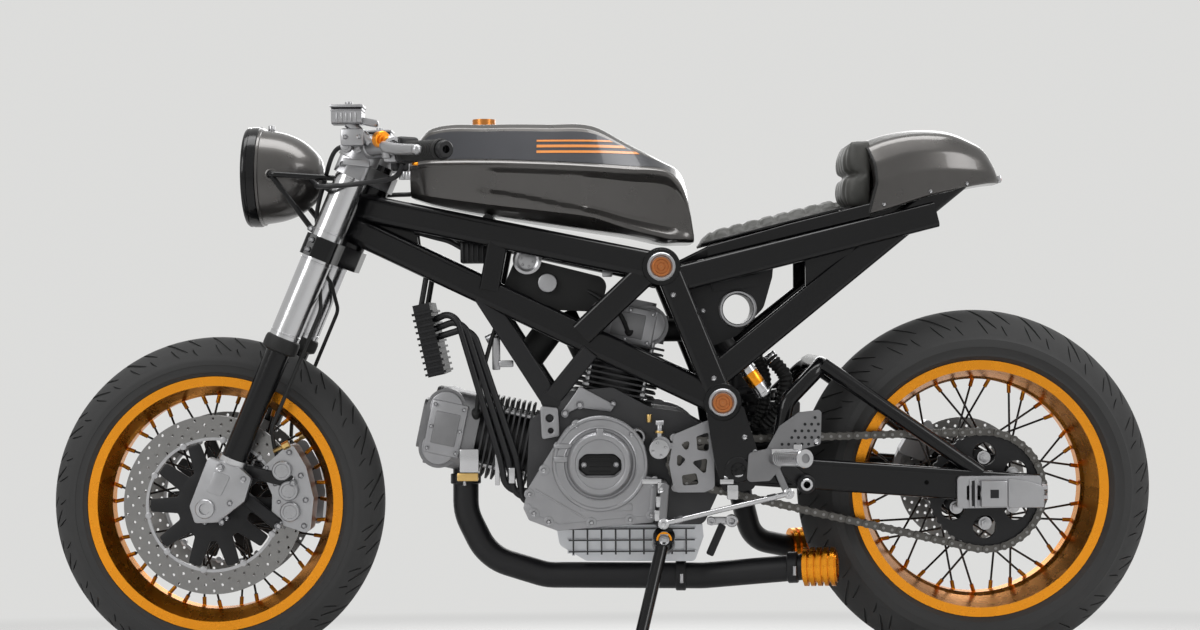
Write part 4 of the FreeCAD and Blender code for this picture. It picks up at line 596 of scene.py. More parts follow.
class RacerStage(bpy.types.PropertyGroup):
    """Camera, light and backdrop"""
    camera_x: FloatProperty(name="Camera X", description="Along the bike", default=8.5)
    camera_distance: FloatProperty(
        name="Camera distance", description="From the bike's middle plane", default=3340.0, min=500.0)
    camera_height: FloatProperty(
        name="Camera height", description="Above the upright bike's ground", default=634.0)
    camera_roll: FloatProperty(
        name="Camera roll", description="Roll about the line of sight", default=math.radians(-0.4),
        subtype="ANGLE")
    focal_length: FloatProperty(
        name="Focal length", description="Lens, on a 36 mm wide sensor", default=54.9, min=10.0)
    floor_colour: FloatVectorProperty(
        name="Floor", description="Colour of the floor and backdrop", subtype="COLOR", size=3,
        default=(0.72, 0.72, 0.71))


def add_camera(scene, stage):
    data = bpy.data.cameras.new("photo_camera")
    data.sensor_width = 36.0
    data.lens = stage.focal_length
    data.clip_end = 100.0
    camera = bpy.data.objects.new("photo_camera", data)
    scene.collection.objects.link(camera)
    place = ROW @ Vector((stage.camera_x, -stage.camera_distance, stage.camera_height))
    look = Matrix.Rotation(math.radians(90), 4, "X") @ Matrix.Rotation(stage.camera_roll, 4, "Z")
    turn = TURN.inverted().to_4x4() @ look
    camera.matrix_world = Matrix.Translation(place) @ turn
    scene.camera = camera


def add_floor(stage):
    bm = bmesh.new()
    bmesh.ops.create_grid(bm, x_segments=1, y_segments=1, size=30.0)
    mesh = bpy.data.meshes.new("floor")
    bm.to_mesh(mesh)
    bm.free()
    floor = bpy.data.objects.new("floor", mesh)
    bpy.context.scene.collection.objects.link(floor)
    mesh.materials.append(floor_material(stage))


# Distance from the middle of the floor, in metres, over which it fades into the backdrop
FLOOR_FADE = (1.2, 5.0)


def floor_material(stage):
    """Pale floor that takes the shadow near the bike and fades into the backdrop far from it."""
    material = finish("pale_floor", tuple(stage.floor_colour), roughness=0.7, shade=0.01)
    nodes = material.node_tree.nodes
    links = material.node_tree.links
    place = add_node(nodes, "TexCoord")
    length = add_node(nodes, "VectorMath", operation="LENGTH")
    links.new(place.outputs["Object"], length.inputs[0])
    far = add_node(nodes, "MapRange", (("From Min", FLOOR_FADE[0]), ("From Max", FLOOR_FADE[1])),
                   interpolation_type="SMOOTHSTEP")
    links.new(length.outputs["Value"], far.inputs["Value"])
    share = add_node(nodes, "Math", operation="MULTIPLY")
    links.new(far.outputs["Result"], share.inputs[0])
    links.new(seen_rays(nodes, links), share.inputs[1])
    glow = add_node(nodes, "Emission", (("Color", (*stage.floor_colour, 1.0)),))
    mix = add_node(nodes, "MixShader")
    links.new(share.outputs["Value"], mix.inputs["Fac"])
    links.new(nodes["Principled BSDF"].outputs["BSDF"], mix.inputs[1])
    links.new(glow.outputs["Emission"], mix.inputs[2])
    links.new(mix.outputs["Shader"], nodes["Material Output"].inputs["Surface"])
    return material


def add_world(scene, stage):
    world = bpy.data.worlds.new("pale_surroundings")
    scene.world = world
    world.use_nodes = True
    nodes = world.node_tree.nodes
    links = world.node_tree.links
    background = nodes["Background"]
    dim = (0.32, 0.32, 0.33, 1.0)
    tone = add_node(nodes, "Mix", (("A", dim), ("B", (*stage.floor_colour, 1.0))), data_type="RGBA")
    links.new(seen_rays(nodes, links), tone.inputs["Factor"])
    links.new(tone.outputs["Result"], background.inputs["Color"])


def add_lights(scene):
    """Four soft boxes round the bike."""
    # name, place, size, power; all in metres round the bike
    lamps = [
        ("top_softbox", (0.0, -0.4, 3.2), (3.6, 1.2), 85.0),
        ("front_softbox", (-2.6, -2.6, 1.9), (1.4, 1.8), 42.0),
        ("rear_softbox", (3.0, -2.0, 2.0), (1.2, 1.8), 36.0),
        ("back_softbox", (0.2, 3.0, 2.2), (3.4, 1.2), 42.0),
    ]
    for name, place, size, power in lamps:
        data = bpy.data.lights.new(name, "AREA")
        data.shape = "RECTANGLE"
        data.size = size[0]
        data.size_y = size[1]
        data.energy = power
        lamp = bpy.data.objects.new(name, data)
        scene.collection.objects.link(lamp)
        target = Vector((0, 0, 0.5))
        lamp.location = place
        lamp.rotation_euler = (target - Vector(place)).to_track_quat("-Z", "Y").to_euler()


class RACER_OT_stage(bpy.types.Operator):
    """Floor, soft lights, pale surroundings and the camera"""
    bl_idname = "racer.stage"
    bl_label = "Stage"

    def execute(self, context):
        stage = context.scene.racer_stage
        add_camera(context.scene, stage)
        add_floor(stage)
        add_world(context.scene, stage)
        add_lights(context.scene)
        return {"FINISHED"}


class RacerWheels(bpy.types.PropertyGroup):
    """Tyres and brake discs"""
    tread_pitches: IntProperty(
        name="Tread pitches", description="Repeats of the tread round a tyre", default=22, min=6)
    groove_depth: FloatProperty(
        name="Groove depth", description="Depth of the tread grooves, mm", default=3.0, min=0.5)
    hole_radius: FloatProperty(
        name="Disc holes", description="Radius of the disc's holes, mm", default=2.7, min=0.5)


def slash(start, end, bow, width, steps=7):
    """Outline of a bowed groove with narrow ends."""
    start, end = Vector(start), Vector(end)
    across = (end - start).orthogonal().normalized()
    left, right = [], []
    for k in range(steps + 1):
        t = k / steps
        middle = start.lerp(end, t) + across * (bow * 4 * t * (1 - t))
        half = width / 2 * (0.35 + 0.65 * math.sin(math.pi * t))
        left.append(middle + across * half)
        right.append(middle - across * half)
    return left + right[::-1]


def tread_unit(length, arc, depth):
    """One repeat of the tread, laid out flat: length runs round the tyre, arc across it."""
    bm = bmesh.new()
    grooves = []
    for side in (-1, 1):
        shift = 0 if side > 0 else 0.03
        for start, end, bow, width in (((0.08, 0.06), (0.60, 0.80), 0.07, 6.5),
                                       ((0.56, 0.13), (0.90, 0.64), 0.05, 5.5),
                                       ((0.22, 0.60), (0.40, 0.93), 0.02, 3.5),
                                       ((0.72, 0.72), (0.84, 0.94), 0.02, 3.5)):
            first = ((start[0] + shift) * length, side * start[1] * arc)
            last = ((end[0] + shift) * length, side * end[1] * arc)
            grooves.append(slash(first, last, side * bow * length, width))
    frame_loop = [(0, -arc), (length, -arc), (length, arc), (0, arc)]
    edges = []
    rims = []
    for loop in [frame_loop] + grooves:
        verts = [bm.verts.new((p[0], p[1], 0)) for p in loop]
        ring = [bm.edges.new((verts[i - 1], verts[i])) for i in range(len(verts))]
        edges += ring
        rims.append(ring)
    bmesh.ops.triangle_fill(bm, edges=edges, use_beauty=True, use_dissolve=False)
    for ring in rims[1:]:
        sunk = bmesh.ops.extrude_edge_only(bm, edges=ring)["geom"]
        bmesh.ops.translate(bm, verts=[v for v in sunk if isinstance(v, bmesh.types.BMVert)],
                            vec=(0, 0, -depth))
        bmesh.ops.triangle_fill(bm, edges=[e for e in sunk if isinstance(e, bmesh.types.BMEdge)],
                                use_beauty=True, use_dissolve=False)
    return bm


def tyre_mesh(node, rim, centre, crown, pitches, depth):
    """Tyre with a grooved crown, rounded shoulders and stepped side walls."""
    low, high = bike_box(node)
    radius = (high.x - low.x) / 2
    half = (high.y - low.y) / 2
    rim_low, rim_high = bike_box(rim)
    rim_edge = (rim_high.y - rim_low.y) / 2
    flange = (rim_high.x - rim_low.x) / 2
    edge = half * 0.93
    reach = math.asin(edge / crown)
    arc = crown * reach
    length = math.tau * radius / pitches
    bm = tread_unit(length, arc, depth)
    rounds, rows = 6, 16
    for k in range(1, rounds):
        bmesh.ops.bisect_plane(bm, geom=bm.verts[:] + bm.edges[:] + bm.faces[:], dist=0.001,
                               plane_co=(length * k / rounds, 0, 0), plane_no=(1, 0, 0))
    for k in range(1, rows):
        bmesh.ops.bisect_plane(bm, geom=bm.verts[:] + bm.edges[:] + bm.faces[:], dist=0.001,
                               plane_co=(0, arc * (2 * k / rows - 1), 0), plane_no=Y_AXIS)
    out = Y_AXIS.orthogonal().normalized()
    over = Y_AXIS.cross(out)
    for vert in bm.verts:
        turn = vert.co.x / length * math.tau / pitches
        lean = vert.co.y / crown
        level = radius - crown + (crown + vert.co.z) * math.cos(lean)
        vert.co = (centre + (out * math.cos(turn) + over * math.sin(turn)) * level
                   + Y_AXIS * ((crown + vert.co.z) * math.sin(lean)))
    bmesh.ops.spin(bm, geom=bm.verts[:] + bm.edges[:] + bm.faces[:], cent=centre, axis=Y_AXIS,
                   angle=math.tau * (pitches - 1) / pitches, steps=pitches - 1, use_duplicate=True)
    shoulder = radius - crown + math.sqrt(crown ** 2 - edge ** 2)
    wall = [(shoulder, edge), (shoulder - 4, edge + (half - edge) * 0.75)]
    middle = (shoulder + flange + 11) / 2
    wall += [(middle + 4, half - 0.4), (middle - 2, half), (middle - 3, half - 1.2),
             (flange + 13, edge + (half - edge) * 0.35), (flange + 12, edge + 1.6), (flange + 8, edge + 1.6),
             (flange + 7, edge - 0.5), (flange + 1.5, rim_edge + 1), (flange + 0.5, rim_edge - 4),
             (flange - 12, rim_edge - 7)]
    profile = wall + [(r, -y) for r, y in reversed(wall)]
    spin(bm, profile, centre, steps=pitches * rounds, closed=False)
    return bm


class RACER_OT_tyres(bpy.types.Operator):
    """Tyres with cut tread and stepped side walls"""
    bl_idname = "racer.tyres"
    bl_label = "Tyres"

    def execute(self, context):
        wheels = context.scene.racer_wheels
        for node, rim, centre, crown, body in (("front_tyre", "front_rim", FRONT_AXLE, 62, "front_wheel"),
                                               ("rear_tyre", "rear_rim", REAR_AXLE, 98, "rear_wheel")):
            bm = tyre_mesh(node, rim, centre, crown, wheels.tread_pitches, wheels.groove_depth)
            add_piece(node + "_treaded", bm, tyre_rubber(), body, (node,), sharp=38,
                      merge=0.02)
        return {"FINISHED"}


def disc_band(bm, centre, outer, inner, y, thick, hole):
    """Drilled braking band with small notches on its inner edge."""
    holes = []
    rows = 4
    for row in range(rows):
        radius = inner + 6 + (outer - inner - 12) * row / (rows - 1)
        for k in range(30):
            turn = math.tau * (k + 0.5 * (row % 2)) / 30
            holes.append(circle(centre.x + radius * math.cos(turn), centre.z + radius * math.sin(turn),
                                hole, 8))
    notched = []
    for k in range(120):
        turn = math.tau * k / 120
        radius = inner + (0 if k % 12 < 9 else 2.2)
        notched.append((centre.x + radius * math.cos(turn), centre.z + radius * math.sin(turn)))
    plate(bm, circle(centre.x, centre.z, outer, 120), y - thick / 2, y + thick / 2, holes=holes + [notched])


def carrier(bm, centre, hub, ring, reach, y, thick, arms, width):
    """Star-shaped disc carrier with an open middle."""
    outline = []
    for k in range(arms):
        turn = math.tau * k / arms
        for radius, spread in ((ring, -0.36), (reach, -width), (reach, width), (ring, 0.36)):
            angle = turn + spread * (math.tau / arms)
            outline.append((centre.x + radius * math.cos(angle), centre.z + radius * math.sin(angle)))
    plate(bm, outline, y - thick / 2, y + thick / 2, corner=5, chamfer=0.8,
          holes=[circle(centre.x, centre.z, hub, 40)], steps=3)


def add_discs(name, centre, sides, outer, arms, hole, node):
    body = name + "_wheel"
    inner = outer - 42
    bands, carriers, buttons = fresh(3)
    for y in sides:
        side = -1 if y < 0 else 1
        spin(buttons, [(inner - 2.5, -2.9), (inner - 2.5, 2.9), (inner + 2.6, 2.9), (inner + 2.6, -2.9)],
             centre + Y_AXIS * y, steps=72)
        disc_band(bands, centre, outer, inner, y, 5, hole)
        carrier(carriers, centre, 24, inner * 0.55, inner - 5, y, 6, arms, 0.16)
        for at in ring_of(centre + Y_AXIS * y, inner - 1, arms, axis=Y_AXIS):
            rod(buttons, at - Y_AXIS * 4.5, at + Y_AXIS * 4.5, 6, chamfer=0.8)
            rod(buttons, at + Y_AXIS * (side * 4.4), at + Y_AXIS * (side * 5.2), 3, segments=12)
        for at in ring_of(centre + Y_AXIS * (y + side * 3), 34, 5, start=0.3):
            bolt(buttons, at, Y_AXIS * side, 4.6, 4)
    add_piece(name + "_disc_bands", bands, turned_steel(), body, (node,), sharp=30)
    add_piece(name + "_disc_carriers", carriers, satin_black(), body)
    add_piece(name + "_disc_buttons", buttons, bolt_steel(), body)


class RACER_OT_discs(bpy.types.Operator):
    """Drilled brake discs on dark carriers, with their buttons and bolts"""
    bl_idname = "racer.discs"
    bl_label = "Brake discs"

    def execute(self, context):
        hole = context.scene.racer_wheels.hole_radius
        low, high = bike_box("front_discs")
        front_y = high.y - 2.5
        front_outer = (high.x - low.x) / 2
        low, high = bike_box("rear_disc")
        rear_y = (low.y + high.y) / 2
        rear_outer = (high.x - low.x) / 2
        add_discs("front", FRONT_AXLE, (-front_y, front_y), front_outer, 10, hole, "front_discs")
        add_discs("rear", REAR_AXLE, (rear_y,), rear_outer, 6, hole, "rear_disc")
        return {"FINISHED"}


# Chain as in the source: pitch, middle plane, teeth of both sprockets, inner width, plate, roller, bush
CHAIN_PITCH = 15.875
CHAIN_Y = -105.4
CHAIN_TEETH = (15, 41)
CHAIN_INNER = 9.5
CHAIN_PLATE = 2.2
CHAIN_ROLLER = 5.0
CHAIN_BUSH = 2.9


def chain_pins():
    """Pins of the chain in order, on its loop round both sprockets."""
    low, high = bike_box("front_sprocket")
    drive = (low + high) / 2
    gap = (REAR_AXLE - drive).length
    heading = math.atan2(REAR_AXLE.z - drive.z, REAR_AXLE.x - drive.x)
    small, large = [CHAIN_PITCH / 2 / math.sin(math.pi / teeth) for teeth in CHAIN_TEETH]
    spread = math.acos((small - large) / gap)
    run = math.sqrt(gap ** 2 - (small - large) ** 2)
    spans = [small * (math.tau - 2 * spread), run, large * 2 * spread, run]

    def around(centre, radius, angle):
        return Vector((centre.x + math.cos(angle) * radius, CHAIN_Y, centre.z + math.sin(angle) * radius))

    def at(distance):
        if distance < spans[0]:
            return around(drive, small, heading + spread + distance / small)
        distance -= spans[0]
        if distance < run:
            return around(drive, small, heading - spread).lerp(around(REAR_AXLE, large, heading - spread),
                                                               distance / run)
        distance -= run
        if distance < spans[2]:
            return around(REAR_AXLE, large, heading - spread + distance / large)
        distance -= spans[2]
        return around(REAR_AXLE, large, heading + spread).lerp(around(drive, small, heading + spread),
                                                               distance / run)

    count = 2 * round(sum(spans) / CHAIN_PITCH / 2)
    return [at(sum(spans) * k / count) for k in range(count)]


def link_outline(start, end, radius):
    """Waisted outline of a link's side plate round two pins."""
    heading = math.atan2(end.z - start.z, end.x - start.x)
    outline = []
    for pin, face in ((start, heading + math.pi), (end, heading)):
        for k in range(-4, 5):
            turn = face + k * math.radians(31)
            outline.append((pin.x + math.cos(turn) * radius, pin.z + math.sin(turn) * radius))
    return outline


def add_chain():
    """Links with their rollers, and the bright pins."""
    links, bright = fresh(2)
    pins = chain_pins()
    inner = CHAIN_INNER / 2
    low, high = bike_box("rear_sprocket")
    tip = (high.x - low.x) / 2
    for k, pin in enumerate(pins):
        following = pins[(k + 1) % len(pins)]
        outer = k % 2 == 0
        near = inner + (CHAIN_PLATE if outer else 0)
        for side in (-1, 1):
            plate(links, link_outline(pin, following, 7.2 if outer else 6.8), CHAIN_Y + side * near, CHAIN_Y
                  + side * (near + CHAIN_PLATE * 0.9))
        # The rear sprocket turns inside the fixed loop, so links on it have bushes in place of rollers
        on_sprocket = math.hypot(pin.x - REAR_AXLE.x, pin.z - REAR_AXLE.z) < tip + CHAIN_ROLLER + 1
        thick = CHAIN_BUSH if on_sprocket else CHAIN_ROLLER
        rod(links, pin - Y_AXIS * inner, pin + Y_AXIS * inner, thick, segments=14)
        reach = inner + 2 * CHAIN_PLATE
        rod(bright, pin - Y_AXIS * (reach + 0.8), pin + Y_AXIS * (reach + 0.8), 2.6, segments=10)
    add_piece("chain_links", links, chain_steel(), replaces=("drive_chain",), sharp=30)
    add_piece("chain_pins", bright, turned_steel())


class RACER_OT_chain(bpy.types.Operator):
    """Drive chain with waisted side plates, rollers and pins"""
    bl_idname = "racer.chain"
    bl_label = "Drive chain"

    def execute(self, context):
        add_chain()
        return {"FINISHED"}


class RacerTank(bpy.types.PropertyGroup):
    """Fuel tank and its stripes"""
    recess: FloatProperty(
        name="Knee recess", description="Depth of the knee recess, mm", default=19.0, min=0.0)
    seam: FloatProperty(name="Seam", description="How far the seam stands out, mm", default=2.5, min=0.0)
    stripe_colour: FloatVectorProperty(
        name="Stripes", description="Colour of the three stripes", subtype="COLOR", size=3, default=(0.62,
        0.2, 0.012))


# Tank stations: x; heights of the underside, lower edge, crease and top; half widths at the same four
TANK_STATIONS = [
    (-330, 848, 856, 900, 928, 40, 52, 66, 46), (-292, 836, 847, 903, 969, 56, 84, 96, 64),
    (-190, 816, 831, 901, 974, 70, 110, 126, 84), (-80, 798, 817, 896, 973, 78, 120, 140, 92),
    (-4, 786, 806, 892, 970, 80, 116, 136, 88), (60, 776, 785, 888, 938, 80, 106, 122, 78),
    (126, 762, 768, 884, 905, 78, 98, 106, 70), (148, 762, 767, 868, 893, 76, 94, 98, 62),
    (162, 762, 767, 842, 870, 72, 90, 93, 56), (171, 762, 766, 806, 828, 68, 84, 88, 52),
    (177, 763, 766, 770, 776, 64, 78, 80, 50),
]
SIDE_ROWS = 24


def tank_ring(x, recess, seam):
    """Closed outline of the tank across the bike at one station."""
    under, edge, crease, top, under_half, edge_half, crease_half, top_half = along_stations(TANK_STATIONS, x)
    fade = between(177, 120, x)
    lip = 0.07 + 0.20 * between(0, -190, x)
    points, radii = [(under_half, under), (edge_half, edge)], [8, 5]
    for k in range(1, SIDE_ROWS):
        v = k / SIDE_ROWS
        sink = recess * between(-215, -165, x) * between(178, 120, x)
        sink *= between(lip, lip + 0.17, v) * between(1, 0.88, v) * (0.72 + 0.28 * (1 - v))
        sink *= 1 - 0.3 * between(-10, -22, x)
        points.append((edge_half + (crease_half - edge_half) * v - sink, edge + (crease - 6 - edge) * v))
        radii.append(0)
    rise = seam * fade
    points += [(crease_half, crease - 6), (crease_half + rise, crease - 3), (crease_half + rise, crease + 2),
               (crease_half - 1, crease + 5)]
    radii += [1, 1, 1, 1]
    points += [(top_half + (crease_half - top_half) * 0.12, top - (top - crease) * 0.10),
               (top_half * 0.9, top + 1)]
    radii += [6, 10]
    left = [(-y, z) for y, z in reversed(points)]
    full = rounded(points + left, radii + radii[::-1], 3)
    return [Vector((x, p.x, p.y)) for p in full]


def panel_point(x, z, out):
    """Point on the tank's left upper panel, raised out of it a little."""
    _, _, crease, top, _, _, crease_half, top_half = along_stations(TANK_STATIONS, x)
    low, high = crease + 5, top - (top - crease) * 0.10
    t = (z - low) / (high - low)
    low_half, high_half = crease_half - 1, top_half + (crease_half - top_half) * 0.12
    return Vector((x, -(low_half + (high_half - low_half) * t + out), z))


def add_panel():
    """Dark panel between the seam and the top edge."""
    bm = bmesh.new()
    rings = []
    for k in range(61):
        x = -316 + 452 * k / 60
        crease, top = along_stations(TANK_STATIONS, x)[2:4]
        low = crease + 8.5
        high = low + max(0.5, (top - crease) * 0.82 - 8.5) * between(-330, -300, x)
        rings.append([panel_point(x, low + (high - low) * j / 6, 0.9) for j in range(7)])
    loft(bm, rings, closed=False)
    mirror_across(bm)
    add_piece("tank_panel", bm, panel_paint())


def add_stripes(tank):
    """Three stripes that end on a slant."""
    paint = finish("stripe_orange", tuple(tank.stripe_colour), roughness=0.3, coat=0.5, shade=0.05)
    bm = bmesh.new()
    for middle, width in ((942, 3.4), (932, 5), (921.5, 4.6)):
        rings = []
        for k in range(25):
            t = k / 24
            high = middle + width / 2
            low = middle - width / 2
            end = 116 - (middle - 905) * 2.3
            rings.append([panel_point(-101 + (end - 3 + 101) * t, high, 1.5),
                          panel_point(-101 + (end + 3 + 101) * t, low, 1.5)])
        loft(bm, rings, closed=False)
    mirror_across(bm)
    add_piece("tank_stripes", bm, paint)


class RACER_OT_tank(bpy.types.Operator):
    """Fuel tank with knee recesses, a raised seam and three stripes"""
    bl_idname = "racer.tank"
    bl_label = "Fuel tank"

    def execute(self, context):
        tank = context.scene.racer_tank
        first, last = TANK_STATIONS[0][0], TANK_STATIONS[-1][0]
        bm = bmesh.new()
        count = 90
        rings = [tank_ring(first + (last - first) * k / count, tank.recess, tank.seam)
                 for k in range(count + 1)]
        loft(bm, rings)
        add_piece("tank_body", bm, tank_paint(), replaces=("fuel_tank",), sharp=28)
        add_panel()
        add_stripes(tank)
        return {"FINISHED"}


class RacerEngine(bpy.types.PropertyGroup):
    """Engine cover and castings"""
    crank_x: FloatProperty(name="Crank X", description="Crankshaft along the bike, mm", default=6.8)
    crank_z: FloatProperty(name="Crank height", description="Middle of the round cover, mm", default=372.4)
    ring_radius: FloatProperty(
        name="Ring radius", description="Round ring of the left cover, mm", default=57.0, min=20.0)
    bolt_radius: FloatProperty(name="Bolt radius", description="Cover bolts, mm", default=4.6, min=2.0)


def add_cover_casting(engine):
    """Turned rings, ribs and bosses in the cover's own casting."""
    centre = Vector((engine.crank_x, 0, engine.crank_z))
    r = engine.ring_radius
    bm = bmesh.new()
    spin(bm, [(r + 1.5, -124), (r + 1.5, -132), (r - 1, -137.5), (r - 5, -140.6), (r - 10, -141),
              (r - 13, -139.6), (r - 14, -137.8), (r - 14, -130)], centre, steps=80)
    spin(bm, [(r + 27.5, -118), (r + 27.5, -125.5), (r + 25.5, -127.6), (r + 22, -127.6), (r + 20, -126.2),
              (r + 20, -118)], centre, steps=80)
    spin(bm, [(r + 8.5, -124), (r + 8.5, -127.4), (r + 6.5, -128.4), (r + 4.5, -127.4), (r + 4.5, -124)],
         centre, steps=80)
    # Two ribs in front of the ring, the slanting fold and the bare name bar
    for z, width in ((404, 9), (381, 11)):
        block(bm, (-58, -125.5, z), (34, 9, width), chamfer=3)
    bar(bm, (-108, -121.5, 328), (-20, -121.5, 277), 3.2, 5, chamfer=1.2)
    block(bm, (17, -122.4, 295.5), (92, 3, 13), chamfer=1.2)
    block(bm, (76.5, -112, 375), (14, 22, 44), chamfer=3)
    # Notch lug at the top of the ring
    block(bm, (engine.crank_x, -137, engine.crank_z + 55), (13, 9, 17), chamfer=2)
    # Flange that runs round the foot of the cover
    outline = [(-130, 298), (-119, 274), (-69, 255), (101, 269), (108, 350), (98, 350), (92, 281), (-66, 267),
               (-108, 284), (-118, 306)]
    plate(bm, outline, -100, -123.5, corner=6, chamfer=1)
    for x, z in cover_bolt_places():
        rod(bm, (x, -96, z), (x, -124.5, z), engine.bolt_radius + 4.5, segments=24, chamfer=0.8)
    # Round boss behind the ring and the casting at the foot of the rear cylinder
    spin(bm, [(16, -92), (16, -114), (14.5, -116), (11.5, -116), (10.5, -113), (10.5, -92)], (71.3, 0, 418),
         steps=32)
    plate(bm, [(-99, 474), (-67, 470), (-64, 420), (-96, 414)], -70, -104, corner=6, chamfer=2,
          holes=[circle(-82, 452, 7), circle(-80, 430, 5)])
    plate(bm, [(-68, 452), (-28, 508), (34, 474), (26, 462), (-30, 470)], -84, -96, corner=5, chamfer=1.5)
    add_piece("cover_casting", bm, cover_alloy(), sharp=32)


def add_cover_window(engine):
    """Dark eight-sided window in the ring, with bars across it; its two screws come with the cover's bolts."""
    x, z = engine.crank_x, engine.crank_z - 1.4
    outline = [(x - 37, z - 9), (x - 25, z - 19), (x + 25, z - 19), (x + 37, z - 9), (x + 37, z + 9),
               (x + 25, z + 19), (x - 25, z + 19), (x - 37, z + 9)]
    bm = bmesh.new()
    plate(bm, outline, -124, -127.5, corner=3, chamfer=1)
    for k in range(4):
        block(bm, (x, -128, z - 12 + 8 * k), (38, 2, 2.4), chamfer=0.5)
    add_piece("cover_window", bm, gloss_black())


def cover_bolt_places():
    """(x, z) of the bolts that hold the left cover."""
    return [(-118, 320), (-110, 286), (-84, 271), (-9, 269), (59, 274), (96, 282), (98, 338), (-92, 362),
            (-66, 403), (-34, 441), (62, 424)]


def add_cover_bolts(engine):
    bm = bmesh.new()
    for x, z in cover_bolt_places():
        bolt(bm, (x, -124.5, z), LEFT, engine.bolt_radius, 4)
    for x in (engine.crank_x - 28, engine.crank_x + 28):
        bolt(bm, (x, -127.5, engine.crank_z - 1), LEFT, 5, 4)
    for x, z, r in ((-28.4, 474.6, 7), (-54.8, 460, 7), (30.7, 477, 5)):
        bolt(bm, (x, -96, z), LEFT, r, 7)
    # Clutch slave: a round silver body with a copper washer and bleed screw over it
    rod(bm, (110.5, -118, 398.4), (110.5, -138, 398.4), 17.5, segments=36, chamfer=1.5)
    for at in ring_of((110.5, -138, 398.4), 11.5, 4, start=0.5):
        bolt(bm, at, LEFT, 2.6, 2)
    rod(bm, (111.5, -126, 414), (112, -126, 440), 5.5, segments=18, chamfer=0.8)
    rod(bm, (112, -126, 440), (112, -126, 448), 8, segments=6, chamfer=0.6)
    add_piece("cover_bolts", bm, bolt_steel())
    bm = bmesh.new()
    rod(bm, (111.6, -126, 426), (111.8, -126, 430), 8.4, segments=24, chamfer=0.6)
    rod(bm, (94, -110, 444), (94, -110, 458), 5, segments=12, chamfer=0.8)
    add_piece("brass_fittings", bm, brass())


def add_clutch_lid(engine):
    """Right clutch cover: a slotted lid with its ring of bolts."""
    face = bike_box("engine_covers")[1].y
    centre = Vector((118, 0, 392))
    bm = bmesh.new()
    spin(bm, [(70, face - 6), (70, face + 2), (67, face + 4), (60, face + 4), (58, face + 1), (58, face - 6)],
         centre, steps=64)
    spin(bm, [(24, face - 4), (24, face + 3), (21, face + 5), (0.5, face + 5), (0.5, face - 4)], centre,
         steps=40)
    for at in ring_of(centre + Y_AXIS * (face + 1.5), 41, 9):
        out = (at - centre)
        out.y = 0
        bar(bm, at - out.normalized() * 15, at + out.normalized() * 15, 7, 5, chamfer=1.5)
    add_piece("clutch_lid", bm, cover_alloy())
    bm = bmesh.new()
    for at in ring_of(centre + Y_AXIS * (face - 1), 75, 9, start=0.2):
        bolt(bm, at, Y_AXIS, engine.bolt_radius, 4.5)
    for x, z in ((-98, 335), (-84, 422), (-4, 454), (-70, 272), (10, 272), (76, 278)):
        bolt(bm, (x, face - 22, z), Y_AXIS, engine.bolt_radius, 4)
    add_piece("clutch_lid_bolts", bm, bolt_steel())


class RACER_OT_engine_cover(bpy.types.Operator):
    """Left engine cover: ring, window, ribs, bosses and bolts"""
    bl_idname = "racer.engine_cover"
    bl_label = "Engine cover"

    def execute(self, context):
        engine = context.scene.racer_engine
        add_cover_casting(engine)
        add_cover_window(engine)
        add_cover_bolts(engine)
        add_clutch_lid(engine)
        return {"FINISHED"}


CYLINDER_TILT = math.radians(12)
CRANK = Vector((6.8, 0, 374))
# Whether it is the front cylinder, and how far its head's top is from the crank
CYLINDERS = ((True, 334), (False, 300))


def cylinder_point(front, distance, across=0, y=0):
    """Point measured along one cylinder from the crank, and across it."""
    level, steep = math.cos(CYLINDER_TILT), math.sin(CYLINDER_TILT)
    along = Vector((-level, 0, steep)) if front else Vector((steep, 0, level))
    side = along.cross(Y_AXIS)
    return CRANK + Y_AXIS * y + along * distance + side * across


def add_head_covers():
    """Side covers with inner panels, rocker caps and the front plates."""
    bm, dark = fresh(2)
    for front, top in CYLINDERS:
        tilt = math.radians(78 if front else -12)
        turn = Matrix.Rotation(-tilt, 3, "Y")
        for side in (-1, 1):
            middle = cylinder_point(front, top - 52, 0, side * 67.5)
            block(bm, middle, (96, 7, 66), turn, chamfer=3)
            block(dark, middle + Y_AXIS * (side * 4), (58, 4, 44), turn, chamfer=1.5)
            for across in (-36, 36):
                at = cylinder_point(front, top - 46, across, side * 61)
                rod(bm, at, at + Y_AXIS * (side * 7), 30, segments=40, chamfer=2)
    add_piece("head_covers", bm, cover_alloy(), sharp=32)
    add_piece("head_inner_panels", dark, cast_alloy())
    bm = bmesh.new()
    block(bm, (-226, -76, 376), (34, 20, 42), chamfer=2)
    block(bm, (-176, -84, 362), (8, 8, 60), chamfer=1.5)
    block(bm, (-150, -88, 350), (11, 10, 28), chamfer=1.5)
    add_piece("front_plates", bm, polished_alloy())
    bm = bmesh.new()
    block(bm, (-229, -76, 347), (38, 18, 15), chamfer=2.5)
    add_piece("exhaust_clamp", bm, brass())


def add_head_bolts():
    """Cover bolts, and the long studs that hold head and cylinder down."""
    bm = bmesh.new()
    for front, top in CYLINDERS:
        for side in (-1, 1):
            for across in (-40, 0, 40):
                for down in (26, 78):
                    bolt(bm, cylinder_point(front, top - down, across, side * 71), (0, side, 0), 3.6, 4)
            for across in (-62, 62):
                at = cylinder_point(front, 122, across * 0.82, side * 58)
                up = (cylinder_point(front, 130) - cylinder_point(front, 120)).normalized()
                rod(bm, at, at + up * 104, 4.2, segments=14)
                rod(bm, at + up * 2, at + up * 10, 8, segments=6, chamfer=0.5)
    add_piece("head_bolts", bm, bolt_steel())


